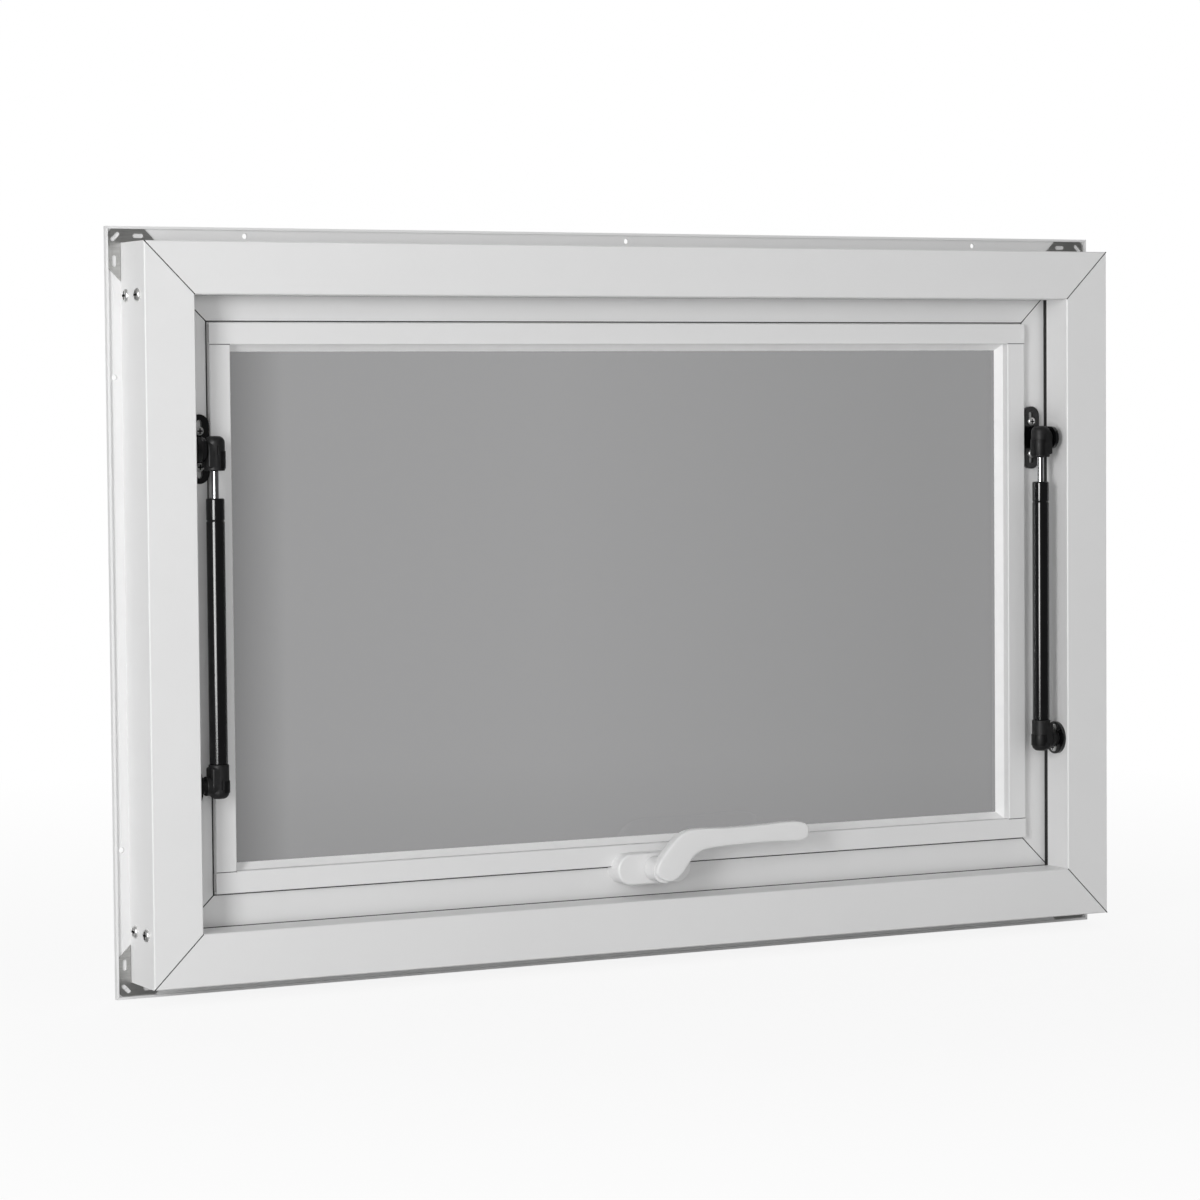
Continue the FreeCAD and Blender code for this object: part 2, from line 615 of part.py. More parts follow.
for tag, s in (("left", -1), ("right", 1)):
    x = s * strut_x
    out = ALONG_X if s > 0 else AGAINST_X

    # round jamb plate, and the lower ball stud that stands on it
    disc = primitive("Cylinder", tag + "_disc", (s * (jamb_x - size("jamb_plate_t")), -size("jamb_plate_y"), z_low), out,
                     Radius=size("jamb_plate_r"), Height=size("jamb_plate_t"))
    keep(disc, tag + "_jamb_plate")
    length = jamb_x - size("jamb_plate_t") - size("stud_play") - strut_x
    collar = size("collar_thick")
    stud = fuse(tag + "_low_stud", [
        primitive("Sphere", tag + "_low_ball", (x, strut_y, z_low), QUARTER, Radius=br),
        primitive("Cylinder", tag + "_low_shank", (x, strut_y, z_low), out, Radius=sr, Height=length),
        primitive("Cylinder", tag + "_low_collar", (s * (strut_x + length - collar), strut_y, z_low), out,
                  Radius=size("collar_radius"), Height=collar)])
    keep(stud, tag + "_foot_stud")

    # cylinder with a gland bore, turned about the strut's axis
    tube_body = new_body(tag + "_strut_cylinder")
    turned = new_sketch(tube_body, "Profile", "XZ_Plane")
    cyl, long = size("cylinder_radius"), size("cylinder_length")
    gland = size("rod_radius") + size("rod_play")
    ring_top = long - size("ring_drop")
    ring_low = ring_top - size("ring_width")
    add_polygon(turned, [
        (gland, 45.0), (cyl - 1.2, 45.0), (cyl - 1.2, 12.0), (Size.of(0.6), 12.0), (Size.of(0.6), 0.0), (cyl - 1.0, 0.0),
        (cyl, 1.0), (cyl, ring_low), (cyl - 0.5, ring_low + 0.6), (cyl - 0.5, ring_top - 0.6), (cyl, ring_top),
        (cyl, long - 1.6), (cyl - 1.6, long), (gland, long)])
    spin = tube_body.newObject("PartDesign::Revolution", "Turned")
    spin.Profile = turned
    spin.ReferenceAxis = (turned, ["V_Axis"])
    spin.Angle = 360
    place(tube_body, (x, strut_y, z_low + size("cylinder_foot")))
    EXPORT.append(tube_body)
    keep(cup(tag + "_low", x, z_low, 1, s, size("cylinder_foot")), tag + "_strut_foot")

    # rod and its head
    rod_z = z_high - size("rod_head") - size("rod_length")
    rod = primitive("Cylinder", tag + "_rod_bar", (x, strut_y, rod_z), Radius=size("rod_radius"),
                    Height=size("rod_length"))
    keep(rod, tag + "_strut_rod")
    keep(cup(tag + "_high", x, z_high, -1, s, size("rod_head")), tag + "_strut_head")
    high = fuse(tag + "_high_stud", [
        primitive("Sphere", tag + "_high_ball", (x, strut_y, z_high), QUARTER, Radius=br),
        primitive("Cylinder", tag + "_high_shank", (x, strut_y, z_high), out, Radius=sr,
                  Height=size("ear_inner"))])
    keep(high, tag + "_head_stud")

    # sash bracket: a long round-ended plate with an ear that stands towards the inside
    bt, bwid, bh = size("bracket_thick"), size("bracket_width"), size("bracket_height")
    px = strut_x + size("ear_inner") + size("ear_thick") - bwid / 2
    arm = bh / 2 - bwid / 2
    ear_r = size("ear_radius")
    ear_x = s * (strut_x + size("ear_inner"))
    ear_at = ear_x if s > 0 else ear_x - size("ear_thick")
    bracket = fuse(tag + "_bracket", [
        primitive("Box", tag + "_plate", (s * px - bwid / 2, sash_y - bt, z_high - arm), Length=bwid, Width=bt,
                  Height=2 * arm),
        primitive("Cylinder", tag + "_plate_top", (s * px, sash_y - bt, z_high + arm), ALONG_Y, Radius=bwid / 2,
                  Height=bt),
        primitive("Cylinder", tag + "_plate_low", (s * px, sash_y - bt, z_high - arm), ALONG_Y, Radius=bwid / 2,
                  Height=bt),
        primitive("Box", tag + "_ear_root", (ear_at, strut_y, z_high - ear_r), Length=size("ear_thick"),
                  Width=sash_y - strut_y, Height=2 * ear_r),
        primitive("Cylinder", tag + "_ear_round", (ear_x, strut_y, z_high), out, Radius=ear_r,
                  Height=size("ear_thick"))])
    slot_r = size("bracket_slot_w") / 2
    slot_run = size("bracket_slot_l") / 2 - slot_r
    cutters = []
    for k, end in ((1, "top"), (-1, "low")):
        at = z_high + k * size("bracket_slot_at")
        cutters.append(primitive("Box", tag + "_slot_" + end, (s * px - slot_r, sash_y - bt - 1, at - slot_run),
                                 Length=2 * slot_r, Width=bt + 2, Height=2 * slot_run))
        for m in (1, -1):
            cutters.append(primitive("Cylinder", tag + "_slot_end", (s * px, sash_y - bt - 1, at + m * slot_run),
                                     ALONG_Y, Radius=slot_r, Height=bt + 2))
    keep(take(tag + "_slotted", bracket, fuse(tag + "_slots", cutters)), tag + "_sash_bracket")



def in_front(edge):
    return edge.BoundBox.YMax < 0.01


# handle base: stadium on the bottom bead, with a foot that reaches the sash face below the seam
base_y = bead_y - size("base_thick")
seam_z = mid_z + lift - sh / 2 + strip
hx, hz = size("handle_x"), seam_z - size("handle_drop")
base = new_body("handle_base")
oval = new_sketch(base, "Oval", "XZ_Plane")
half = size("base_half") - size("base_radius")
add_slot(oval, -half, 0.0, half, 0.0, size("base_radius"))
pad(base, oval, sash_y - base_y, flip=True)
round_edges(base, size("base_round"), in_front)
seat = new_sketch(base, "Seat", "YZ_Plane")
up = seam_z + groove - hz - 0.6
add_polygon(seat, [(bead_y - base_y, up), (sash_y - base_y + 2, up), (sash_y - base_y + 2, size("base_radius") + 2),
                   (bead_y - base_y, size("base_radius") + 2)])
cut_through(base, seat)
bore = new_sketch(base, "Bore", "XZ_Plane")
add_circle(bore, 0.0, 0.0, size("spindle_radius") + size("spindle_play"))
cut(base, bore, Size.of(9.0), flip=False)
place(base, (hx, base_y, hz))
EXPORT.append(base)

# lever: hub, cranked neck and grip in one piece, rounded on its edges
lever = new_body("handle_lever")
hr, deep, front = size("hub_radius"), size("lever_thick"), size("lever_reach")
bend_x, bend_z = size("bend_out"), size("bend_rise")
tip_x = size("lever_length") - size("tip_radius")
outline = new_sketch(lever, "Neck", "XZ_Plane")
add_slot(outline, 0.0, 0.0, bend_x, bend_z, hr, size("bend_radius"))
pad(lever, outline, deep, flip=True)
grip = new_sketch(lever, "Grip", "XZ_Plane")
add_slot(grip, bend_x, bend_z, tip_x, bend_z + size("tip_lift"), size("bend_radius"), size("tip_radius"))
pad(lever, grip, deep, flip=True)


def crook(edge):
    """The inner corner between neck and grip."""
    a, b = edge.Vertexes[0].Point, edge.Vertexes[-1].Point
    return abs(a.x - b.x) < 0.01 and abs(a.z - b.z) < 0.01 and a.x > bend_x.number and a.z < bend_z.number - 2


def behind(edge):
    return edge.BoundBox.YMin > deep.number - 0.01


round_edges(lever, size("crook_radius"), crook)
round_edges(lever, size("lever_round"), in_front)
round_edges(lever, size("lever_back_round"), behind)
hub = new_sketch(lever, "Hub", "XZ_Plane")
add_circle(hub, 0.0, 0.0, hr - 0.4)
hub.setExpression(".AttachmentOffset.Base.z", (-(deep / 2)).text)
pad(lever, hub, front - size("lever_play") - deep / 2, flip=True)
peg = new_sketch(lever, "Spindle", "XZ_Plane")
add_circle(peg, 0.0, 0.0, size("spindle_radius"))
peg.setExpression(".AttachmentOffset.Base.z", (-(deep / 2)).text)
pad(lever, peg, front + 8.0 - deep / 2, flip=True)
place(lever, (hx, base_y - front, hz))
EXPORT.append(lever)

doc.recompute()
bad = []
for obj in doc.Objects:
    if "Invalid" in obj.State or "Error" in obj.State:
        bad.append("%s %s" % (obj.Name, obj.State))
for obj in EXPORT:
    if obj.Shape.isNull() or not obj.Shape.isValid() or not obj.Shape.Solids:
        bad.append("%s has no valid solid" % obj.Label)
if bad:
    raise RuntimeError("; ".join(bad))
os.makedirs("parts", exist_ok=True)
for obj in EXPORT:
    obj.Shape.exportStep("parts/%s.step" % obj.Label)
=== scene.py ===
"""Concession window: finishes, fixings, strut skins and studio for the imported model."""
import json
import math

import bmesh
import bpy
from bpy.props import FloatProperty, FloatVectorProperty, IntProperty, PointerProperty
from mathutils import Matrix, Vector


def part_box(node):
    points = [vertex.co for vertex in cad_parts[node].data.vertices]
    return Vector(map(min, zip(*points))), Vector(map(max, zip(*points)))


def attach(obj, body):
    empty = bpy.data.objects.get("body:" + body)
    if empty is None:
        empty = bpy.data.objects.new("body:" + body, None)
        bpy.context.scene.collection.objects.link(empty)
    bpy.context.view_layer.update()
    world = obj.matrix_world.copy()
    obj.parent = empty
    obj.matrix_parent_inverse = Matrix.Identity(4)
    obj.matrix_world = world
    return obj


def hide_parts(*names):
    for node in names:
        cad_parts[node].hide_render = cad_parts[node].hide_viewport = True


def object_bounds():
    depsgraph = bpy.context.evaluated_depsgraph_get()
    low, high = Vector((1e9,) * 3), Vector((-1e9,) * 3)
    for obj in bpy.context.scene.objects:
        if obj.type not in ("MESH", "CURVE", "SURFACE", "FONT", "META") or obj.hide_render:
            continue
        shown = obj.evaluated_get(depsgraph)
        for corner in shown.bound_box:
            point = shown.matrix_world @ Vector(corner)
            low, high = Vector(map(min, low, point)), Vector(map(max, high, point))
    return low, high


bl_info = {
    "name": "Concession Window",
    "version": (1, 0, 0),
    "blender": (4, 5, 0),
    "location": "View3D > Sidebar > Window",
    "description": "Dresses a top-hung serving window with its finishes, screws and studio",
    "category": "Object",
}

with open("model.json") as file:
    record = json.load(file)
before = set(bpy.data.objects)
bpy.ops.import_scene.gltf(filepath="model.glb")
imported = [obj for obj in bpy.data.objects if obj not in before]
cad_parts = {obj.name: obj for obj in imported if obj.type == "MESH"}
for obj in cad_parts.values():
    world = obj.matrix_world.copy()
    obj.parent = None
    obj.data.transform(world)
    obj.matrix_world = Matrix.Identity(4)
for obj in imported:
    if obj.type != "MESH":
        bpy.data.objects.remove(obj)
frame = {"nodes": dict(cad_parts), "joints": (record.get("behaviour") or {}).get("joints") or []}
CAD_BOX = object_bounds()
NODES = frame["nodes"]
JOINTS = {joint["name"]: joint for joint in frame["joints"]}
HINGE = Vector(JOINTS["sash_hinge"]["pos_m"])
SIDES = (("left", -1.0), ("right", 1.0))

# Sizes in metres
LIP = 0.0132  # flange rim beyond the body of the frame
BRACKET_PLATE = 0.0035  # thickness of the strut brackets
HINGE_LEAF = 0.0015  # thickness of the hinge leaves
BALL = 0.005  # radius of the balls in the strut ends
BALL_PLAY = 0.00012  # room round a ball in its cup
CLIP_WALL = 0.0006
CLIPS = {"foot": (0.0098, -0.0008), "head": (0.0140, 0.0085)}  # height, and place from the ball
SLOT_HALF, SLOT_DEEP = 0.0009, 0.0014  # slot for a clip: half its width, and its depth
SLOT_LOW, SLOT_HIGH = -0.0032, 0.0044  # its ends, from the ball
BOSS_STEP, BOSS_NECK, BOSS_REACH = 0.0040, 0.0058, 0.0079  # step, neck radius and length
BOSS_START = 0.0086  # jamb plate to the start of a boss
TUBE_RIM, TUBE_HEEL = 0.0014, 0.0009  # eased rims of a cylinder, top and bottom
TUBE_BORE, TUBE_FLOOR = 0.00315, 0.04  # radius of the rod's bore, and its floor from below
GROOVE_DROP, GROOVE_HALF = 0.018, 0.0011  # rolled groove: place below the top, half its width
GROOVE_WAIST = 0.91  # share of the radius that the groove leaves
ROD_EASE = 0.0005
LEVER_THICK, LEVER_EASE = 0.011, 0.0022
HUB_RADIUS, HUB_EASE, HUB_PLAY = 0.0108, 0.0008, 0.0004  # hub of the lever, and its room
SEAM_WIDE, JOINT_WIDE = 0.0009, 0.0005  # sealant in the mitres, and painted shade in the gaps round the beads; bead joints
SEAM_PROUD, SEAM_SUNK, SEAM_EASE = 0.00004, 0.0004, 0.0001
WELD = 0.00001  # points nearer than this become one
SAME = 1e-6  # heights nearer than this are level
STRUT_CREASE = 35.0  # degrees; sharper edges of turned pieces stay sharp
HEAD_CREASE = 40.0  # the same for heads, clips and the lever
NOISE_LOW, NOISE_HIGH = 0.3, 0.7  # where most of a noise lies

# Upper and lower edge of the lever from its hub, in millimetres, seen from inside
LEVER_EDGES = (
    ((-9.2, -5.0), (0.5, -10.6)), ((-11.0, 1.5), (10.0, -8.5)), ((-6.0, 11.0), (16.5, -2.5)),
    ((6.5, 24.5), (21.5, 4.5)), ((15.0, 32.0), (26.0, 10.5)), ((27.0, 34.6), (33.5, 15.2)),
    ((49.0, 33.6), (47.0, 17.0)), ((71.0, 33.3), (71.0, 17.9)), ((96.0, 34.1), (96.0, 18.4)),
    ((112.0, 34.9), (113.0, 18.2)), ((126.0, 35.3), (127.5, 17.2)), ((136.0, 34.0), (136.5, 18.4)),
    ((140.0, 29.8), (140.0, 22.4)))

# Painted shade across the pane, standing in for the uneven reflections in it, from its left to its
# right end: dark at its left edge, a little darker towards its right end; place from 0 to 1, and
# factor
PANE_PAINTED_SHADE_STOPS = ((0.02, 0.60), (0.085, 1.02), (0.40, 1.03), (0.88, 0.895))

# Lamps: place, width and height
KEY_LAMP = ((-2.6, -2.0, 0.76), 0.7, 1.5)
STRIP_LAMP = ((-1.55, -1.6, 0.66), 0.5, 1.3)
FRONT_LAMP = ((-0.9, -2.8, 0.5), 1.4, 1.4)
OUTSIDE_LAMP = ((0.9, 2.4, 1.8), 1.6, 1.6)
FLOOR_SIZE, FLOOR_DROP = 30.0, 0.0005
FLOOR_TONE = (0.85, 0.85, 0.85, 1.0)
FLOOR_FADE = (0.5, 1.8, 0.88, 1.0)  # from and to distance; share of plain white at each


def middle(node):
    """The centre of a CAD node's box."""
    low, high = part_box(node)
    return (low + high) / 2


def at(x, y, z):
    """A move to a place."""
    return Matrix.Translation((x, y, z))


# Settings

def colour(name, text, value):
    return FloatVectorProperty(name=name, description=text, subtype="COLOR", size=3,
                               min=0.0, max=1.0, default=value)


def length(name, text, value):
    return FloatProperty(name=name, description=text, subtype="DISTANCE", unit="LENGTH",
                         min=0.0, default=value)


def angle(name, text, degrees):
    return FloatProperty(name=name, description=text, subtype="ANGLE",
                         default=math.radians(degrees))


def power(name, text, value):
    return FloatProperty(name=name, description=text, subtype="POWER", default=value)


class WindowFinishes(bpy.types.PropertyGroup):
    """Colours of the window's materials."""
    coat: colour("Powder coat", "White coat on frame, sash and beads", (0.80, 0.80, 0.80))
    handle: colour("Handle", "Coat on the lever and its base", (0.82, 0.82, 0.82))
    zinc: colour("Zinc plate", "Corner plates", (0.46, 0.46, 0.45))
    bright: colour("Bright zinc", "Screws and hinge pin", (0.86, 0.86, 0.85))
    black_paint: colour("Black paint", "Strut cylinders and brackets", (0.0035, 0.0035, 0.004))
    black_moulding: colour("Black moulding", "Strut end fittings", (0.014, 0.014, 0.0145))
    black_clip: colour("Black clip", "Clips on the strut end fittings", (0.003, 0.003, 0.0034))
    rubber: colour("Rubber", "Weather seal and outer glass seal", (0.008, 0.008, 0.008))
    gasket: colour("Gasket", "White sloped strip at the glass", (0.90, 0.90, 0.90))
    # Painted shade: this dark colour also fills the gaps round the beads, where only shade falls
    sealant: colour("Sealant", "Dark lines in the mitres and round the beads", (0.03, 0.03, 0.03))
    glass: colour("Glass tint", "Tint of the pane", (0.335, 0.335, 0.338))
    rod: colour("Polished rod", "Chromed strut rods", (0.42, 0.42, 0.43))


class ScrewSizes(bpy.types.PropertyGroup):
    """Screws that hold the jambs, brackets and hinge."""
    jamb_head: length("Jamb head", "Head radius of the screws through the jambs", 0.0053)
    jamb_rise: length("Jamb head height", "Height of those heads", 0.0024)
    jamb_corner: length("Jamb screw place", "Body corner to the jamb screws", 0.0424)
    jamb_near: length("Near jamb screw", "Inside face to the near screw", 0.0152)
    jamb_far: length("Far jamb screw", "Inside face to the far screw", 0.0413)
    bracket_head: length("Bracket head", "Head radius of the bracket screws", 0.0036)
    bracket_rise: length("Bracket head height", "Height of those heads", 0.0020)
    bracket_from_ball: length("Bracket screw place", "Ball to the bracket screws", 0.0145)
    plate_from_middle: length("Jamb plate screw place", "Plate middle to its screws", 0.0088)
    hinge_head: length("Hinge rivet", "Head radius of the hinge rivets", 0.0026)
    hinge_rise: length("Hinge rivet height", "Height of those heads", 0.0011)
    hinge_from_axis: length("Hinge rivet place", "Hinge axis to the rivet rows", 0.0135)
    hinge_count: IntProperty(name="Hinge rivets", description="Rivets in each leaf", min=2,
                             default=9)


class StudioSettings(bpy.types.PropertyGroup):
    """Camera and light."""
    eye: FloatVectorProperty(name="Eye", description="Camera place", subtype="XYZ", unit="LENGTH",
                             size=3, default=(-1.5268, -2.9055, 0.4763))
    yaw: angle("Yaw", "Camera turn to the right", 27.258)
    pitch: angle("Pitch", "Camera turn downward", 2.945)
    roll: angle("Roll", "Camera tilt", -0.49)
    lens: FloatProperty(name="Lens", description="Focal length in millimetres on a 36 mm sensor",
                        default=114.99)
    key: power("Key light", "Power of the left light", 46.0)
    fill: power("Fill light", "Power of the front light", 10.0)
    strip: power("Strip light", "Power of the strip seen only in shiny surfaces", 22.0)
    back: power("Back light", "Power of the light outside the window", 16.0)
    sky: FloatProperty(name="Sky", description="Even light from all round", default=0.46)
    gloss: FloatProperty(name="Sky in gloss", description="How bright shiny surfaces see the sky",
                         default=0.12)


# Materials

def new_material(name):
    material = bpy.data.materials.new(name)
    material.use_nodes = True
    return material, material.node_tree.nodes["Principled BSDF"]


def grain(material, scale, detail=3.0, stretch=(1.0, 1.0, 1.0)):
    """A noise on object coordinates; scale counts per metre."""
    tree = material.node_tree
    place = tree.nodes.new("ShaderNodeTexCoord")
    mapping = tree.nodes.new("ShaderNodeMapping")
    mapping.inputs["Scale"].default_value = stretch
    noise = tree.nodes.new("ShaderNodeTexNoise")
    noise.inputs["Scale"].default_value = scale
    noise.inputs["Detail"].default_value = detail
    tree.links.new(place.outputs["Object"], mapping.inputs["Vector"])
    tree.links.new(mapping.outputs["Vector"], noise.inputs["Vector"])
    return noise.outputs["Fac"]


def map_range(tree, value, ends):
    """Maps a value; the ends are from low, from high, to low and to high."""
    span = tree.nodes.new("ShaderNodeMapRange")
    for socket, end in zip(("From Min", "From Max", "To Min", "To Max"), ends):
        span.inputs[socket].default_value = end
    tree.links.new(value, span.inputs["Value"])
    return span.outputs["Result"]


def across(material, low, high):
    """Nought to one along the object's x, from low to high."""
    tree = material.node_tree
    place = tree.nodes.new("ShaderNodeTexCoord")
    split = tree.nodes.new("ShaderNodeSeparateXYZ")
    tree.links.new(place.outputs["Object"], split.inputs["Vector"])
    return map_range(tree, split.outputs["X"], (low, high, 0.0, 1.0))


def ramp_colour(material, shader, fac, base, stops):
    """Colours a shader by a ramp; each stop is a place from 0 to 1 and a factor on the base."""
    tree = material.node_tree
    ramp = tree.nodes.new("ShaderNodeValToRGB")
    elements = ramp.color_ramp.elements
    while len(elements) < len(stops):
        elements.new(1.0)
    for element, (place, factor) in zip(elements, stops):
        element.position = place
        element.color = [min(1.0, c * factor) for c in base] + [1.0]
    tree.links.new(fac, ramp.inputs["Fac"])
    tree.links.new(ramp.outputs["Color"], shader.inputs["Base Color"])


def vary_colour(material, shader, fac, base, spread):
    """Lets the colour drift a little either side of its base."""
    stops = ((NOISE_LOW, 1.0 - spread), (NOISE_HIGH, 1.0 + spread))
    ramp_colour(material, shader, fac, base, stops)


def vary_roughness(material, shader, fac, low, high):
    tree = material.node_tree
    rough = map_range(tree, fac, (NOISE_LOW, NOISE_HIGH, low, high))
    tree.links.new(rough, shader.inputs["Roughness"])


def relief(material, shader, fac, depth, strength):
    tree = material.node_tree
    bump = tree.nodes.new("ShaderNodeBump")
    bump.inputs["Distance"].default_value = depth
    bump.inputs["Strength"].default_value = strength
    tree.links.new(fac, bump.inputs["Height"])
    tree.links.new(bump.outputs["Normal"], shader.inputs["Normal"])


def powder_coat(name, base, gloss):
    """White powder coat: soft sheen over a fine orange peel."""
    material, shader = new_material(name)
    vary_colour(material, shader, grain(material, 5.0), base, spread=0.012)
    vary_roughness(material, shader, grain(material, 40.0), gloss - 0.05, gloss + 0.05)
    relief(material, shader, grain(material, 950.0, detail=2.0), depth=0.00004, strength=0.35)
    shader.inputs["Specular IOR Level"].default_value = 0.45
    return material


def zinc_plate(name, base):
    """Zinc-plated steel with rolled streaks."""
    material, shader = new_material(name)
    streaks = grain(material, 60.0, detail=4.0, stretch=(1.0, 1.0, 14.0))
    vary_colour(material, shader, streaks, base, spread=0.10)
    scuffs = grain(material, 220.0, detail=4.0, stretch=(1.0, 1.0, 8.0))
    vary_roughness(material, shader, scuffs, 0.30, 0.46)
    shader.inputs["Metallic"].default_value = 0.9
    return material


def black_paint(base):
    """Gloss black stove paint of the struts and brackets."""
    material, shader = new_material("black_paint")
    vary_colour(material, shader, grain(material, 90.0), base, spread=0.2)
    vary_roughness(material, shader, grain(material, 300.0), 0.12, 0.17)
    relief(material, shader, grain(material, 700.0, detail=2.0), depth=0.000006, strength=0.2)
    shader.inputs["Specular IOR Level"].default_value = 0.45
    shader.inputs["Coat Weight"].default_value = 0.2
    shader.inputs["Coat Roughness"].default_value = 0.06
    return material


def black_moulding(name, base):
    """Glass-filled black plastic."""
    material, shader = new_material(name)
    vary_colour(material, shader, grain(material, 260.0), base, spread=0.25)
    vary_roughness(material, shader, grain(material, 500.0), 0.42, 0.54)
    relief(material, shader, grain(material, 1500.0), depth=0.00002, strength=0.3)
    shader.inputs["Specular IOR Level"].default_value = 0.3
    return material


def rubber(name, base, rough, depth):
    """Extruded rubber, matt, with a fine skin."""
    material, shader = new_material(name)
    vary_colour(material, shader, grain(material, 60.0), base, spread=0.02)
    vary_roughness(material, shader, grain(material, 260.0), rough - 0.08, rough + 0.08)
    relief(material, shader, grain(material, 1200.0), depth, strength=0.3)
    return material


def polished_rod(base):
    """Chromed rod, with faint turning marks along its height."""
    material, shader = new_material("polished_rod")
    rings = grain(material, 30.0, detail=4.0, stretch=(1.0, 1.0, 12.0))
    vary_colour(material, shader, rings, base, spread=0.03)
    vary_roughness(material, shader, rings, 0.120, 0.126)
    shader.inputs["Metallic"].default_value = 1.0
    return material


def tinted_glass(base):
    """Grey tinted pane: clear, with painted shade that darkens it at its left edge and towards its
    right end, and a faint haze on its faces.
    """
    material, shader = new_material("tinted_glass")
    low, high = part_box("glass_pane")
    # Painted shade: the ramp darkens the pane's colour at its left edge and towards its right end
    ramp_colour(material, shader, across(material, low.x, high.x), base, PANE_PAINTED_SHADE_STOPS)
    vary_roughness(material, shader, grain(material, 12.0, detail=4.0), 0.02, 0.05)
    shader.inputs["Transmission Weight"].default_value = 1.0
    shader.inputs["IOR"].default_value = 1.48
    return material


def finish(material, *names):
    """Gives CAD nodes their finish."""
    for name in names:
        NODES[name].data.materials.clear()
        NODES[name].data.materials.append(material)


def made(name):
    return bpy.data.materials[name]


# Modelling

def only(obj):
    bpy.ops.object.select_all(action="DESELECT")
    obj.select_set(True)
    bpy.context.view_layer.objects.active = obj


def added(primitive, **settings):
    """A new primitive, with nothing else selected."""
    bpy.ops.object.select_all(action="DESELECT")
    primitive(**settings)
    return bpy.context.object


def modify(piece, kind, **settings):
    """Gives a piece a modifier and applies it."""
    only(piece)
    step = piece.modifiers.new(kind.lower(), kind)
    for key, value in settings.items():
        setattr(step, key, value)
    bpy.ops.object.modifier_apply(modifier=step.name)


def combine(piece, other, how):
    """Joins another object to a piece, or cuts it away, and drops it."""
    modify(piece, "BOOLEAN", operation=how, object=other)
    bpy.data.objects.remove(other)


def pick_edges(obj, test):
    """Selects, in edit mode, the edges that pass the test."""
    bpy.ops.mesh.select_mode(type="EDGE")
    bpy.ops.mesh.select_all(action="DESELECT")
    mesh = bmesh.from_edit_mesh(obj.data)
    for edge in mesh.edges:
        edge.select_set(test(edge))
    mesh.select_flush_mode()
    bmesh.update_edit_mesh(obj.data)


def pick_level(obj, height):
    """Selects, in edit mode, the edges that lie at a height."""
    pick_edges(obj, lambda edge: all(abs(v.co.z - height) < SAME for v in edge.verts))


def shade_by_angle(piece, degrees):
    only(piece)
    bpy.ops.object.shade_smooth_by_angle(angle=math.radians(degrees))


def smooth_shade(piece, degrees):
    """Smooth shading in which the large faces keep their own direction."""
    only(piece)
    bpy.ops.object.mode_set(mode="EDIT")
    bpy.ops.mesh.select_all(action="SELECT")
    bpy.ops.mesh.remove_doubles(threshold=WELD)
    bpy.ops.mesh.dissolve_degenerate(threshold=WELD)
    bpy.ops.object.mode_set(mode="OBJECT")
    shade_by_angle(piece, degrees)
    modify(piece, "WEIGHTED_NORMAL", keep_sharp=True)


def cross_cut(head, radius, rise):
    """Sinks a cross recess into the top of a head."""
    for quarter in (0.0, math.pi / 2):
        blade = added(bpy.ops.mesh.primitive_cube_add, size=1.0, location=(0.0, 0.0, rise))
        blade.scale = (radius * 1.25, radius * 0.34, rise * 1.3)
        blade.rotation_euler = (0.0, 0.0, quarter)
        bpy.ops.object.transform_apply(location=True, rotation=True, scale=True)
        combine(head, blade, "DIFFERENCE")


def pan_head(name, radius, rise, recess=True):
    """A domed screw or rivet head that stands on z = 0; its recess takes the second material, a dark
    colour painted in as the shade inside the recess.
    """
    head = added(bpy.ops.mesh.primitive_cylinder_add, vertices=32, radius=radius, depth=rise,
                 location=(0.0, 0.0, rise / 2))
    head.name = name
    bpy.ops.object.transform_apply(location=True)
    bpy.ops.object.mode_set(mode="EDIT")
    pick_edges(head, lambda edge: all(v.co.z > rise * 0.9 for v in edge.verts))
    bpy.ops.mesh.bevel(offset=rise * 0.75, segments=5, profile=0.5)
    bpy.ops.object.mode_set(mode="OBJECT")
    if recess:
        cross_cut(head, radius, rise)
        # Painted shade: the faces inside the cross recess get the dark second material
        for face in head.data.polygons:
            inside = (face.center.xy.length < radius * 0.66
                      and rise * 0.2 < face.center.z < rise * 0.95)
            face.material_index = 1 if inside else 0
    shade_by_angle(head, HEAD_CREASE)
    return head


def round_bar(radius, near, far, along, ease_near, ease_far):
    """A round bar along x, y or z, with eased rims."""
    bar = added(bpy.ops.mesh.primitive_cylinder_add, vertices=48, radius=radius, depth=far - near,
                location=(0.0, 0.0, (near + far) / 2))
    bpy.ops.object.transform_apply(location=True)
    bpy.ops.object.mode_set(mode="EDIT")
    for rim, ease in ((near, ease_near), (far, ease_far)):
        if ease:
            pick_level(bar, rim)
            bpy.ops.mesh.bevel(offset=ease, segments=6, profile=0.5)
    bpy.ops.object.mode_set(mode="OBJECT")
    turns = {"X": (0.0, math.pi / 2, 0.0), "Y": (-math.pi / 2, 0.0, 0.0)}
    if along in turns:
        bar.rotation_euler = turns[along]
        bpy.ops.object.transform_apply(rotation=True)
    return bar


def eased_box(low, high, ease):
    """A block between two corners, its edges eased."""
    low, high = Vector(low), Vector(high)
    block = added(bpy.ops.mesh.primitive_cube_add, size=1.0, location=(low + high) / 2)
    block.scale = high - low
    bpy.ops.object.transform_apply(location=True, scale=True)
    bpy.ops.object.mode_set(mode="EDIT")
    bpy.ops.mesh.select_all(action="SELECT")
    bpy.ops.mesh.bevel(offset=ease, segments=3, profile=0.5)
    bpy.ops.object.mode_set(mode="OBJECT")
    return block


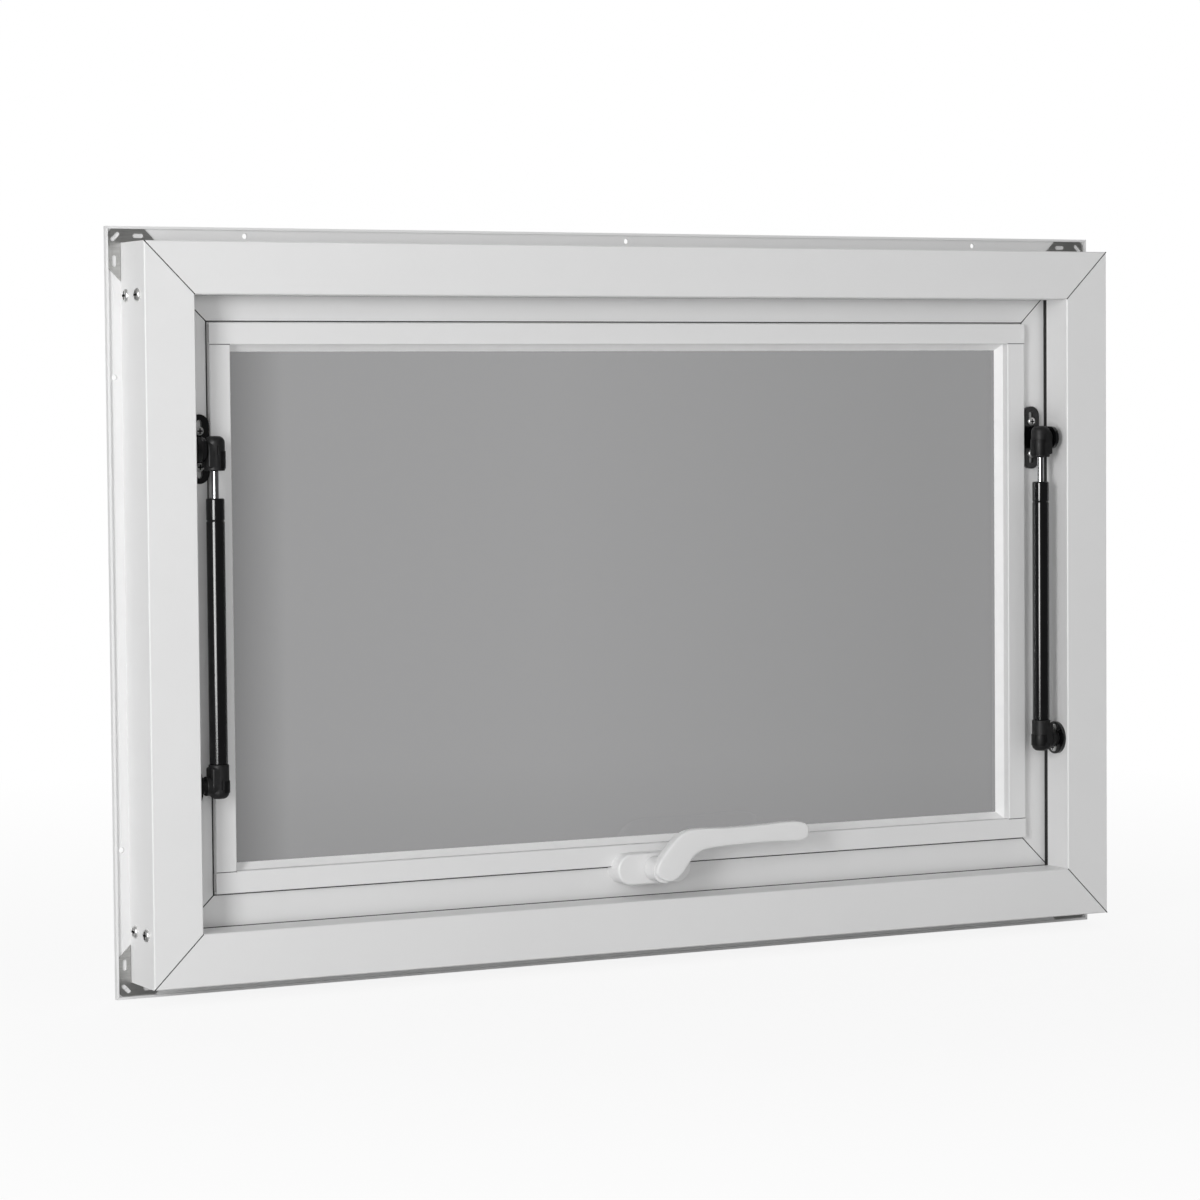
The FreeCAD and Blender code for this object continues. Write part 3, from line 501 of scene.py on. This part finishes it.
def strut_fitting(name, radius, crown, stem):
    """A moulded end fitting round its ball, with the strut along +z and the stud along +x."""
    fitting = round_bar(radius, -crown, stem, "Z", crown * 0.5, 0.0009)
    fitting.name = name
    shoulder = round_bar(radius * 0.96, -0.002, radius, "X", 0.0, 0.0014)
    combine(fitting, shoulder, "UNION")
    block = eased_box((-0.001, -radius * 0.95, 0.0),
                      (radius * 0.99, radius * 0.95, stem * 0.86), 0.0016)
    combine(fitting, block, "UNION")
    cup = added(bpy.ops.mesh.primitive_uv_sphere_add, segments=48, ring_count=24,
                radius=BALL + BALL_PLAY)
    combine(fitting, cup, "DIFFERENCE")
    mouth = round_bar(BALL * 0.84, 0.0, radius * 2, "X", 0.0, 0.0)
    combine(fitting, mouth, "DIFFERENCE")
    for y in (-radius, radius):
        slot = eased_box((-SLOT_HALF, y - SLOT_DEEP, SLOT_LOW),
                         (SLOT_HALF, y + SLOT_DEEP, SLOT_HIGH), 0.0003)
        combine(fitting, slot, "DIFFERENCE")
    smooth_shade(fitting, 38.0)
    return fitting


def stud_boss(name, wide):
    """A stepped round boss along +x, between a strut's foot and its jamb plate."""
    boss = round_bar(wide, 0.0, BOSS_STEP, "X", 0.0, 0.0008)
    boss.name = name
    neck = round_bar(BOSS_NECK, BOSS_STEP * 0.5, BOSS_REACH, "X", 0.0, 0.0006)
    combine(boss, neck, "UNION")
    smooth_shade(boss, STRUT_CREASE)
    return boss


def strut_tube(name, radius, low, high):
    """A strut cylinder along z, with a rolled groove below its top and a bore for the rod."""
    tube = round_bar(radius, low, high, "Z", TUBE_HEEL, TUBE_RIM)
    tube.name = name
    groove = high - GROOVE_DROP
    bpy.ops.object.mode_set(mode="EDIT")
    for z in (groove - GROOVE_HALF, groove, groove + GROOVE_HALF):
        bpy.ops.mesh.select_all(action="SELECT")
        bpy.ops.mesh.bisect(plane_co=(0.0, 0.0, z), plane_no=(0.0, 0.0, 1.0))
    pick_level(tube, groove)
    bpy.ops.transform.resize(value=(GROOVE_WAIST, GROOVE_WAIST, 1.0),
                             center_override=(0.0, 0.0, groove))
    bpy.ops.mesh.select_mode(type="FACE")
    bpy.ops.mesh.select_all(action="DESELECT")
    mesh = bmesh.from_edit_mesh(tube.data)
    for face in mesh.faces:
        face.select_set(face.normal.z > 0.99 and face.calc_center_median().z > high - SAME)
    bmesh.update_edit_mesh(tube.data)
    bpy.ops.mesh.inset(thickness=radius - TUBE_RIM - TUBE_BORE)
    bpy.ops.mesh.extrude_region_move(
        TRANSFORM_OT_translate={"value": (0.0, 0.0, low + TUBE_FLOOR - high)})
    bpy.ops.object.mode_set(mode="OBJECT")
    smooth_shade(tube, STRUT_CREASE)
    return tube


def swept_grip(name, stations, thick, ease):
    """A bar swept through pairs of edge points in the x-z plane, an upper and a lower each."""
    pairs = [[Vector((x, 0.0, z)) for x, z in pair] for pair in stations]
    upper, lower = pairs[0]
    bar = added(bpy.ops.mesh.primitive_plane_add, size=1.0)
    bar.name = name
    side = upper - lower
    bar.scale = (side.length, thick, 1.0)
    bar.rotation_euler = (0.0, -math.atan2(side.z, side.x), 0.0)
    bar.location = (upper + lower) / 2
    bpy.ops.object.transform_apply(location=True, rotation=True, scale=True)
    bpy.ops.object.mode_set(mode="EDIT")
    bpy.ops.mesh.select_all(action="SELECT")
    for last, pair in zip(pairs, pairs[1:]):
        bpy.ops.mesh.extrude_region_move(TRANSFORM_OT_translate={"value": (0.0, 0.0, 0.0)})
        moves = [(old, new - old) for old, new in zip(last, pair)]
        mesh = bmesh.from_edit_mesh(bar.data)
        for vert in [v for v in mesh.verts if v.select]:
            flat = Vector((vert.co.x, 0.0, vert.co.z))
            vert.co += min(moves, key=lambda move: (move[0] - flat).length)[1]
        bmesh.update_edit_mesh(bar.data)
    bpy.ops.mesh.select_all(action="SELECT")
    bpy.ops.mesh.normals_make_consistent(inside=False)
    bpy.ops.object.mode_set(mode="OBJECT")
    modify(bar, "BEVEL", width=ease, segments=2, angle_limit=math.radians(50.0))
    modify(bar, "SUBSURF", levels=2)
    return bar


def strut_clip(name, radius, height):
    """A half sleeve that snaps over a strut fitting, open towards +x."""
    clip = added(bpy.ops.mesh.primitive_cylinder_add, vertices=64, radius=radius, depth=height,
                 end_fill_type="NOTHING")
    clip.name = name
    bpy.ops.object.mode_set(mode="EDIT")
    bpy.ops.mesh.select_all(action="SELECT")
    bpy.ops.mesh.bisect(plane_co=(-radius * 0.14, 0.0, 0.0), plane_no=(1.0, 0.0, 0.0),
                        clear_outer=True)
    bpy.ops.object.mode_set(mode="OBJECT")
    modify(clip, "SOLIDIFY", thickness=CLIP_WALL, offset=1.0)
    modify(clip, "BEVEL", width=CLIP_WALL * 0.45, segments=3, angle_limit=math.radians(50.0))
    shade_by_angle(clip, HEAD_CREASE)
    return clip


def copy_of(master):
    """A copy of a master piece with a mesh of its own."""
    piece = master.copy()
    piece.data = master.data.copy()
    bpy.context.scene.collection.objects.link(piece)
    return piece


def settle(piece, name, place, body, slot, *materials):
    """Moves a finished piece to its place, coats it and lets it ride on a body."""
    piece.name = name
    piece.data.transform(place)
    for material in materials:
        piece.data.materials.append(material)
    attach(piece, body)


def set_copy(master, name, where, facing, body, slot, *materials):
    """Settles a copy of a master piece, its z axis along facing."""
    turn = Vector(facing).to_track_quat("Z", "Y").to_matrix().to_4x4()
    settle(copy_of(master), name, at(*where) @ turn, body, slot, *materials)


# Operators

class WINDOW_OT_frame(bpy.types.Operator):
    """Coat the frame, its corner plates, seals and hinge"""
    bl_idname = "window.frame"
    bl_label = "Frame"

    def execute(self, context):
        tones = context.scene.window_finishes
        coat = powder_coat("powder_coat", tones.coat, gloss=0.42)
        finish(coat, "frame_top_rail", "frame_bottom_rail", "frame_left_jamb", "frame_right_jamb",
               "hinge_frame_leaf", "hinge_sash_leaf")
        corners = ["corner_plate_%s_%s" % (row, side)
                   for row in ("top", "bottom") for side, _ in SIDES]
        finish(zinc_plate("zinc_plate", tones.zinc), *corners)
        finish(zinc_plate("bright_zinc", tones.bright), "hinge_pin")
        finish(rubber("black_rubber", tones.rubber, rough=0.7, depth=0.00003),
               "weather_seal", "outer_glass_seal")
        return {"FINISHED"}


class WINDOW_OT_sash(bpy.types.Operator):
    """Coat the sash and beads, and set the gasket and the tinted glass"""
    bl_idname = "window.sash"
    bl_label = "Sash"

    def execute(self, context):
        tones = context.scene.window_finishes
        finish(made("powder_coat"), "sash_top_rail", "sash_bottom_rail", "sash_left_stile",
               "sash_right_stile", "bead_top", "bead_bottom", "bead_left", "bead_right")
        finish(rubber("white_gasket", tones.gasket, rough=0.5, depth=0.000004),
               "gasket_top", "gasket_bottom", "gasket_left", "gasket_right")
        finish(tinted_glass(tones.glass), "glass_pane")
        return {"FINISHED"}


class WINDOW_OT_handle(bpy.types.Operator):
    """Model the curved lever and coat it and its base"""
    bl_idname = "window.handle"
    bl_label = "Handle"

    def execute(self, context):
        coat = powder_coat("handle_coat", context.scene.window_finishes.handle, gloss=0.34)
        finish(coat, "handle_base", "handle_lever")
        axis = Vector(JOINTS["handle_turn"]["pos_m"])
        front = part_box("handle_lever")[0].y
        base_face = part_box("handle_base")[0].y
        stations = [[(x / 1000, z / 1000) for x, z in pair] for pair in LEVER_EDGES]
        lever = swept_grip("curved_lever", stations, LEVER_THICK, LEVER_EASE)
        lever.data.transform(at(0.0, front + LEVER_THICK / 2, 0.0))
        hub = round_bar(HUB_RADIUS, front + LEVER_THICK * 0.5, base_face - HUB_PLAY, "Y",
                        0.0, HUB_EASE)
        combine(lever, hub, "UNION")
        shade_by_angle(lever, HEAD_CREASE)
        settle(lever, "curved_lever", at(axis.x, 0.0, axis.z), "handle", "handle_white", coat)
        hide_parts("handle_lever")
        return {"FINISHED"}


class WINDOW_OT_struts(bpy.types.Operator):
    """Model the skins, clips and bosses of the gas struts, and coat them and their brackets"""
    bl_idname = "window.struts"
    bl_label = "Struts"

    def cylinder(self, side, paint):
        low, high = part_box("right_strut_cylinder")
        tube = strut_tube("tube", (high.y - low.y) / 2, low.z, high.z)
        spot = middle(side + "_strut_cylinder")
        settle(tube, side + "_turned_cylinder", at(spot.x, spot.y, 0.0), side + "_cylinder",
               "black_steel", paint)
        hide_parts(side + "_strut_cylinder")

    def rod(self, side, chrome):
        low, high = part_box(side + "_strut_rod")
        bar = round_bar((high.y - low.y) / 2, low.z, high.z, "Z", ROD_EASE, ROD_EASE)
        smooth_shade(bar, STRUT_CREASE)
        spot = middle(side + "_strut_cylinder")
        settle(bar, side + "_polished_rod", at(spot.x, spot.y, 0.0), side + "_rod", "chrome_rod",
               chrome)
        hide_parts(side + "_strut_rod")

    def ends(self, side, facing, crown, masters, coats):
        """The fittings with their clips; a head is a foot turned over."""
        axis = middle(side + "_strut_rod")
        for part, body in (("foot", "cylinder"), ("head", "rod")):
            low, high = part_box("%s_strut_%s" % (side, part))
            if part == "foot":
                z, over = low.z + crown, Matrix.Identity(4)
            else:
                z, over = high.z - crown, Matrix.Rotation(math.pi, 4, "X")
            for kind, master, lift in (("fitting", masters["fitting"], 0.0),
                                       ("clip", masters[part], CLIPS[part][1])):
                piece = copy_of(master)
                piece.data.transform(facing @ over @ at(0.0, 0.0, lift))
                settle(piece, "%s_%s_%s" % (side, part, kind), at(axis.x, axis.y, z),
                       "%s_%s" % (side, body), "black_plastic", coats[kind])
                if kind == "fitting":
                    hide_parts("%s_strut_%s" % (side, part))

    def boss(self, side, sign, facing, radius, moulding):
        boss = stud_boss("boss", radius * 0.95)
        boss.data.transform(facing)
        low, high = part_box(side + "_jamb_plate")
        start = (low.x if sign > 0 else high.x) - sign * BOSS_START
        place = at(start, middle(side + "_strut_rod").y, middle(side + "_foot_stud").z)
        settle(boss, side + "_stud_boss", place, side + "_cylinder", "black_plastic", moulding)

    def execute(self, context):
        tones = context.scene.window_finishes
        paint = black_paint(tones.black_paint)
        moulding = black_moulding("black_moulding", tones.black_moulding)
        coats = {"fitting": moulding, "clip": black_moulding("black_clip", tones.black_clip)}
        chrome = polished_rod(tones.rod)
        foot_low, foot_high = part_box("right_strut_foot")
        radius = (foot_high.y - foot_low.y) / 2
        ball_low, ball_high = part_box("right_head_stud")
        ball_z = (ball_high.z + ball_low.z) / 2
        head_low, head_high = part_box("right_strut_head")
        crown = head_high.z - ball_z
        masters = {"fitting": strut_fitting("fitting_master", radius, crown, ball_z - head_low.z)}
        for part, (height, _) in CLIPS.items():
            masters[part] = strut_clip(part + "_clip_master", radius, height)
        for side, sign in SIDES:
            self.cylinder(side, paint)
            self.rod(side, chrome)
            painted = ("strut_cylinder", "sash_bracket", "jamb_plate", "head_stud", "foot_stud")
            finish(paint, *["%s_%s" % (side, part) for part in painted])
            finish(moulding, side + "_strut_foot", side + "_strut_head")
            finish(chrome, side + "_strut_rod")
            facing = Matrix.Rotation(0.0 if sign > 0 else math.pi, 4, "Z")
            self.ends(side, facing, crown, masters, coats)
            self.boss(side, sign, facing, radius, moulding)
        for master in masters.values():
            bpy.data.objects.remove(master)
        return {"FINISHED"}


def seam_strip(y, x0, x1, z0, z1):
    """A thin dark strip on a face at y: sealant in the mitres and bead joints, and painted shade in
    the gaps round the beads.
    """
    return eased_box((x0, y - SEAM_PROUD, z0), (x1, y + SEAM_SUNK, z1), SEAM_EASE)


class WINDOW_OT_mitre_seams(bpy.types.Operator):
    """Run sealant down the mitres of frame and sash and into the bead joints, and lay strips of
    painted shade in the gaps round the beads
    """
    bl_idname = "window.mitre_seams"
    bl_label = "Mitre seams"

    def mitres(self, sealant):
        low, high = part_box("frame_right_jamb")
        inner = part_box("right_jamb_plate")[1].x
        side = high.x - LIP
        face = side - inner
        stile_low, stile_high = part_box("sash_right_stile")
        bead_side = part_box("bead_top")[1].x
        for row, top in (("top", 1.0), ("bottom", -1.0)):
            end = 1 if top > 0 else 0
            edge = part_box("frame_%s_rail" % row)[end].z - top * LIP
            sash_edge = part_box("sash_%s_rail" % row)[end].z
            bead_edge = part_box("bead_" + row)[end].z
            for name, sign in SIDES:
                for body, y, start, stop in (
                        ("frame", low.y, (side, edge), (inner, edge - top * face)),
                        ("sash", stile_low.y, (stile_high.x, sash_edge), (bead_side, bead_edge))):
                    run = Vector(((start[0] - stop[0]) * sign, 0.0, start[1] - stop[1]))
                    seam = seam_strip(y, 0.0, run.length, -SEAM_WIDE / 2, SEAM_WIDE / 2)
                    seam.data.transform(Matrix.Rotation(-math.atan2(run.z, run.x), 4, "Y"))
                    settle(seam, "%s_seam_%s_%s" % (body, row, name),
                           at(stop[0] * sign, 0.0, stop[1]), body, "black_rubber", sealant)

    def bead_lines(self, sealant):
        low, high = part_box("bead_bottom")[0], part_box("bead_top")[1]
        sash_face, bead_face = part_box("sash_right_stile")[0].y, low.y
        left_inner, right_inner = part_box("bead_left")[1].x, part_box("bead_right")[0].x
        top_z, bottom_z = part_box("bead_top")[0].z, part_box("bead_bottom")[1].z
        below, above = low.z - SEAM_WIDE, high.z + SEAM_WIDE
        # The four strips round the beads are painted shade: dark strips laid in the gaps between
        # beads and sash, where only shade falls. The four bead joints are real joints.
        for name, *strip in (
                ("seam_top", sash_face, low.x, high.x, high.z, above),
                ("seam_bottom", sash_face, low.x, high.x, below, low.z),
                ("seam_left", sash_face, low.x - SEAM_WIDE, low.x, below, above),
                ("seam_right", sash_face, high.x, high.x + SEAM_WIDE, below, above),
                ("joint_top_left", bead_face, low.x, left_inner, top_z, top_z + JOINT_WIDE),
                ("joint_top_right", bead_face, right_inner, high.x, top_z, top_z + JOINT_WIDE),
                ("joint_bottom_left", bead_face, low.x, left_inner, bottom_z - JOINT_WIDE, bottom_z),
                ("joint_bottom_right", bead_face, right_inner, high.x, bottom_z - JOINT_WIDE,
                 bottom_z)):
            settle(seam_strip(*strip), "bead_" + name, Matrix.Identity(4), "sash", "black_rubber",
                   sealant)

    def execute(self, context):
        sealant = rubber("sealant", context.scene.window_finishes.sealant, rough=0.6, depth=0.00001)
        self.mitres(sealant)
        self.bead_lines(sealant)
        return {"FINISHED"}


class WINDOW_OT_jamb_screws(bpy.types.Operator):
    """Drive the corner screws through the outer sides of the jambs"""
    bl_idname = "window.jamb_screws"
    bl_label = "Jamb screws"

    def execute(self, context):
        sizes = context.scene.window_screws
        master = pan_head("jamb_screw_master", sizes.jamb_head, sizes.jamb_rise)
        low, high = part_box("frame_right_jamb")
        side_x = high.x - LIP
        body_low, body_top = low.z + LIP, high.z - LIP
        rows = (("top", body_top - sizes.jamb_corner), ("bottom", body_low + sizes.jamb_corner))
        for side, sign in SIDES:
            for row, z in rows:
                for depth, near in (("near", sizes.jamb_near), ("far", sizes.jamb_far)):
                    where = (sign * side_x, low.y + near, z)
                    # Black moulding is the second coat: painted shade inside the cross recesses
                    set_copy(master, "jamb_screw_%s_%s_%s" % (side, row, depth), where,
                             (sign, 0.0, 0.0), "frame", "bare_steel", made("bright_zinc"),
                             made("black_moulding"))
        bpy.data.objects.remove(master)
        return {"FINISHED"}


class WINDOW_OT_bracket_screws(bpy.types.Operator):
    """Drive the screws of the strut brackets and jamb plates"""
    bl_idname = "window.bracket_screws"
    bl_label = "Bracket screws"

    def execute(self, context):
        sizes = context.scene.window_screws
        master = pan_head("bracket_screw_master", sizes.bracket_head, sizes.bracket_rise)
        # Black moulding is painted shade inside the cross recesses
        coats = made("bright_zinc"), made("black_moulding")
        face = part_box("sash_left_stile")[0].y - BRACKET_PLATE
        for side, sign in SIDES:
            ball = middle(side + "_head_stud").z
            bracket, plate = middle(side + "_sash_bracket"), middle(side + "_jamb_plate")
            plate_low, plate_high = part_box(side + "_jamb_plate")
            inner = plate_low.x if sign > 0 else plate_high.x
            for end, k in (("top", 1.0), ("low", -1.0)):
                where = (bracket.x, face, ball + k * sizes.bracket_from_ball)
                set_copy(master, "%s_bracket_screw_%s" % (side, end), where, (0.0, -1.0, 0.0),
                         "sash", "bare_steel", *coats)
                where = (inner, plate.y, plate.z + k * sizes.plate_from_middle)
                set_copy(master, "%s_plate_screw_%s" % (side, end), where, (-sign, 0.0, 0.0),
                         "frame", "bare_steel", *coats)
        bpy.data.objects.remove(master)
        return {"FINISHED"}


class WINDOW_OT_hinge_rivets(bpy.types.Operator):
    """Set the rivets of the continuous hinge"""
    bl_idname = "window.hinge_rivets"
    bl_label = "Hinge rivets"

    def execute(self, context):
        sizes = context.scene.window_screws
        master = pan_head("rivet_master", sizes.hinge_head, sizes.hinge_rise, recess=False)
        low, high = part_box("hinge_frame_leaf")
        step = (high.x - low.x) / sizes.hinge_count
        for body, k in (("frame", 1.0), ("sash", -1.0)):
            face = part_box("hinge_%s_leaf" % body)[0].y + HINGE_LEAF
            for i in range(sizes.hinge_count):
                where = (low.x + step * (i + 0.5), face, HINGE.z + k * sizes.hinge_from_axis)
                set_copy(master, "hinge_rivet_%s_%02d" % (body, i + 1), where, (0.0, 1.0, 0.0),
                         body, "white_coat", made("powder_coat"))
        bpy.data.objects.remove(master)
        return {"FINISHED"}


def seen_straight(tree):
    """One for what is seen directly or through glass, else nought; and the light path itself."""
    path = tree.nodes.new("ShaderNodeLightPath")
    either = tree.nodes.new("ShaderNodeMath")
    either.operation = "MAXIMUM"
    tree.links.new(path.outputs["Is Camera Ray"], either.inputs[0])
    tree.links.new(path.outputs["Is Transmission Ray"], either.inputs[1])
    return either.outputs[0], path


def mix_shaders(tree, fac, first, second):
    mix = tree.nodes.new("ShaderNodeMixShader")
    tree.links.new(fac, mix.inputs["Fac"])
    tree.links.new(first, mix.inputs[1])
    tree.links.new(second, mix.inputs[2])
    return mix.outputs["Shader"]


class WINDOW_OT_studio(bpy.types.Operator):
    """Set the floor, lights and camera"""
    bl_idname = "window.studio"
    bl_label = "Studio"

    def floor(self, gloss):
        """A matt floor that fades to white with distance, and looks dim in shiny surfaces."""
        plane = added(bpy.ops.mesh.primitive_plane_add, size=FLOOR_SIZE,
                      location=(0.0, 0.0, CAD_BOX[0].z - FLOOR_DROP))
        plane.name = "studio_floor"
        material = bpy.data.materials.new("studio_white")
        material.use_nodes = True
        tree = material.node_tree
        tree.nodes.clear()
        matt = tree.nodes.new("ShaderNodeBsdfDiffuse")
        matt.inputs["Color"].default_value = FLOOR_TONE
        glow = tree.nodes.new("ShaderNodeEmission")
        dim = tree.nodes.new("ShaderNodeEmission")
        dim.inputs["Strength"].default_value = gloss
        place = tree.nodes.new("ShaderNodeTexCoord")
        reach = tree.nodes.new("ShaderNodeVectorMath")
        reach.operation = "LENGTH"
        tree.links.new(place.outputs["Object"], reach.inputs[0])
        straight, path = seen_straight(tree)
        share = tree.nodes.new("ShaderNodeMath")
        share.operation = "MULTIPLY"
        tree.links.new(straight, share.inputs[0])
        tree.links.new(map_range(tree, reach.outputs["Value"], FLOOR_FADE), share.inputs[1])
        lit = mix_shaders(tree, path.outputs["Is Glossy Ray"], matt.outputs["BSDF"],
                          dim.outputs["Emission"])
        seen = mix_shaders(tree, share.outputs[0], lit, glow.outputs["Emission"])
        out = tree.nodes.new("ShaderNodeOutputMaterial")
        tree.links.new(seen, out.inputs["Surface"])
        plane.data.materials.append(material)

    def sky(self, strength, gloss):
        """White where it is seen straight, dim in shiny surfaces, else an even light."""
        world = bpy.data.worlds.new("studio_sky")
        world.use_nodes = True
        tree = world.node_tree
        tree.nodes.clear()
        shades = []
        for level in (strength, gloss, 1.0):
            shade = tree.nodes.new("ShaderNodeBackground")
            shade.inputs["Color"].default_value = (1.0, 1.0, 1.0, 1.0)
            shade.inputs["Strength"].default_value = level
            shades.append(shade.outputs["Background"])
        straight, path = seen_straight(tree)
        unseen = mix_shaders(tree, path.outputs["Is Glossy Ray"], shades[0], shades[1])
        out = tree.nodes.new("ShaderNodeOutputWorld")
        tree.links.new(mix_shaders(tree, straight, unseen, shades[2]), out.inputs["Surface"])
        bpy.context.scene.world = world

    def lamp(self, name, shape, target, energy, lights=True, mirrored=True):
        place, wide, tall = shape
        data = bpy.data.lights.new(name, "AREA")
        data.shape = "RECTANGLE"
        data.size = wide
        data.size_y = tall
        data.energy = energy
        lamp = bpy.data.objects.new(name, data)
        lamp.location = place
        aim = Vector(target) - Vector(place)
        lamp.rotation_euler = aim.to_track_quat("-Z", "Y").to_euler()
        lamp.visible_camera = False
        lamp.visible_diffuse = lights
        lamp.visible_glossy = mirrored
        bpy.context.scene.collection.objects.link(lamp)

    def camera(self, studio):
        turn = (Matrix.Rotation(studio.roll, 3, "Y") @ Matrix.Rotation(studio.pitch, 3, "X")
                @ Matrix.Rotation(studio.yaw, 3, "Z"))
        right, forward, up = turn[0], turn[1], turn[2]
        data = bpy.data.cameras.new("photo_camera")
        data.sensor_width = 36.0
        data.lens = studio.lens
        data.clip_end = 100.0
        camera = bpy.data.objects.new("photo_camera", data)
        pose = Matrix((right, up, -forward)).transposed().to_4x4()
        camera.matrix_world = Matrix.Translation(studio.eye) @ pose
        bpy.context.scene.collection.objects.link(camera)
        bpy.context.scene.camera = camera

    def execute(self, context):
        studio = context.scene.window_studio
        centre = (CAD_BOX[0] + CAD_BOX[1]) / 2
        self.floor(studio.gloss)
        self.sky(studio.sky, studio.gloss)
        self.lamp("key", KEY_LAMP, (centre.x, centre.y, KEY_LAMP[0][2]), studio.key)
        self.lamp("strip", STRIP_LAMP, (centre.x, centre.y, STRIP_LAMP[0][2]), studio.strip,
                  lights=False)
        self.lamp("front", FRONT_LAMP, centre, studio.fill, mirrored=False)
        self.lamp("outside", OUTSIDE_LAMP, centre, studio.back, mirrored=False)
        self.camera(studio)
        context.scene.view_settings.view_transform = "Standard"
        return {"FINISHED"}


STEPS = (WINDOW_OT_frame, WINDOW_OT_sash, WINDOW_OT_handle, WINDOW_OT_struts,
         WINDOW_OT_mitre_seams, WINDOW_OT_jamb_screws, WINDOW_OT_bracket_screws,
         WINDOW_OT_hinge_rivets, WINDOW_OT_studio)
GROUPS = (("window_finishes", WindowFinishes), ("window_screws", ScrewSizes),
          ("window_studio", StudioSettings))


class WINDOW_PT_panel(bpy.types.Panel):
    """Steps and settings of the concession window"""
    bl_label = "Concession Window"
    bl_idname = "WINDOW_PT_panel"
    bl_space_type = "VIEW_3D"
    bl_region_type = "UI"
    bl_category = "Window"

    def draw(self, context):
        for step in STEPS:
            self.layout.operator(step.bl_idname)
        for name, group in GROUPS:
            box = self.layout.box()
            for setting in group.__annotations__:
                box.prop(getattr(context.scene, name), setting)


def register():
    for name, group in GROUPS:
        bpy.utils.register_class(group)
        setattr(bpy.types.Scene, name, PointerProperty(type=group))
    for item in STEPS + (WINDOW_PT_panel,):
        bpy.utils.register_class(item)


def unregister():
    for item in reversed(STEPS + (WINDOW_PT_panel,)):
        bpy.utils.unregister_class(item)
    for name, group in reversed(GROUPS):
        delattr(bpy.types.Scene, name)
        bpy.utils.unregister_class(group)


def main():
    register()
    for step in STEPS:
        family, action = step.bl_idname.split(".")
        getattr(getattr(bpy.ops, family), action)()


if __name__ == "__main__":
    main()
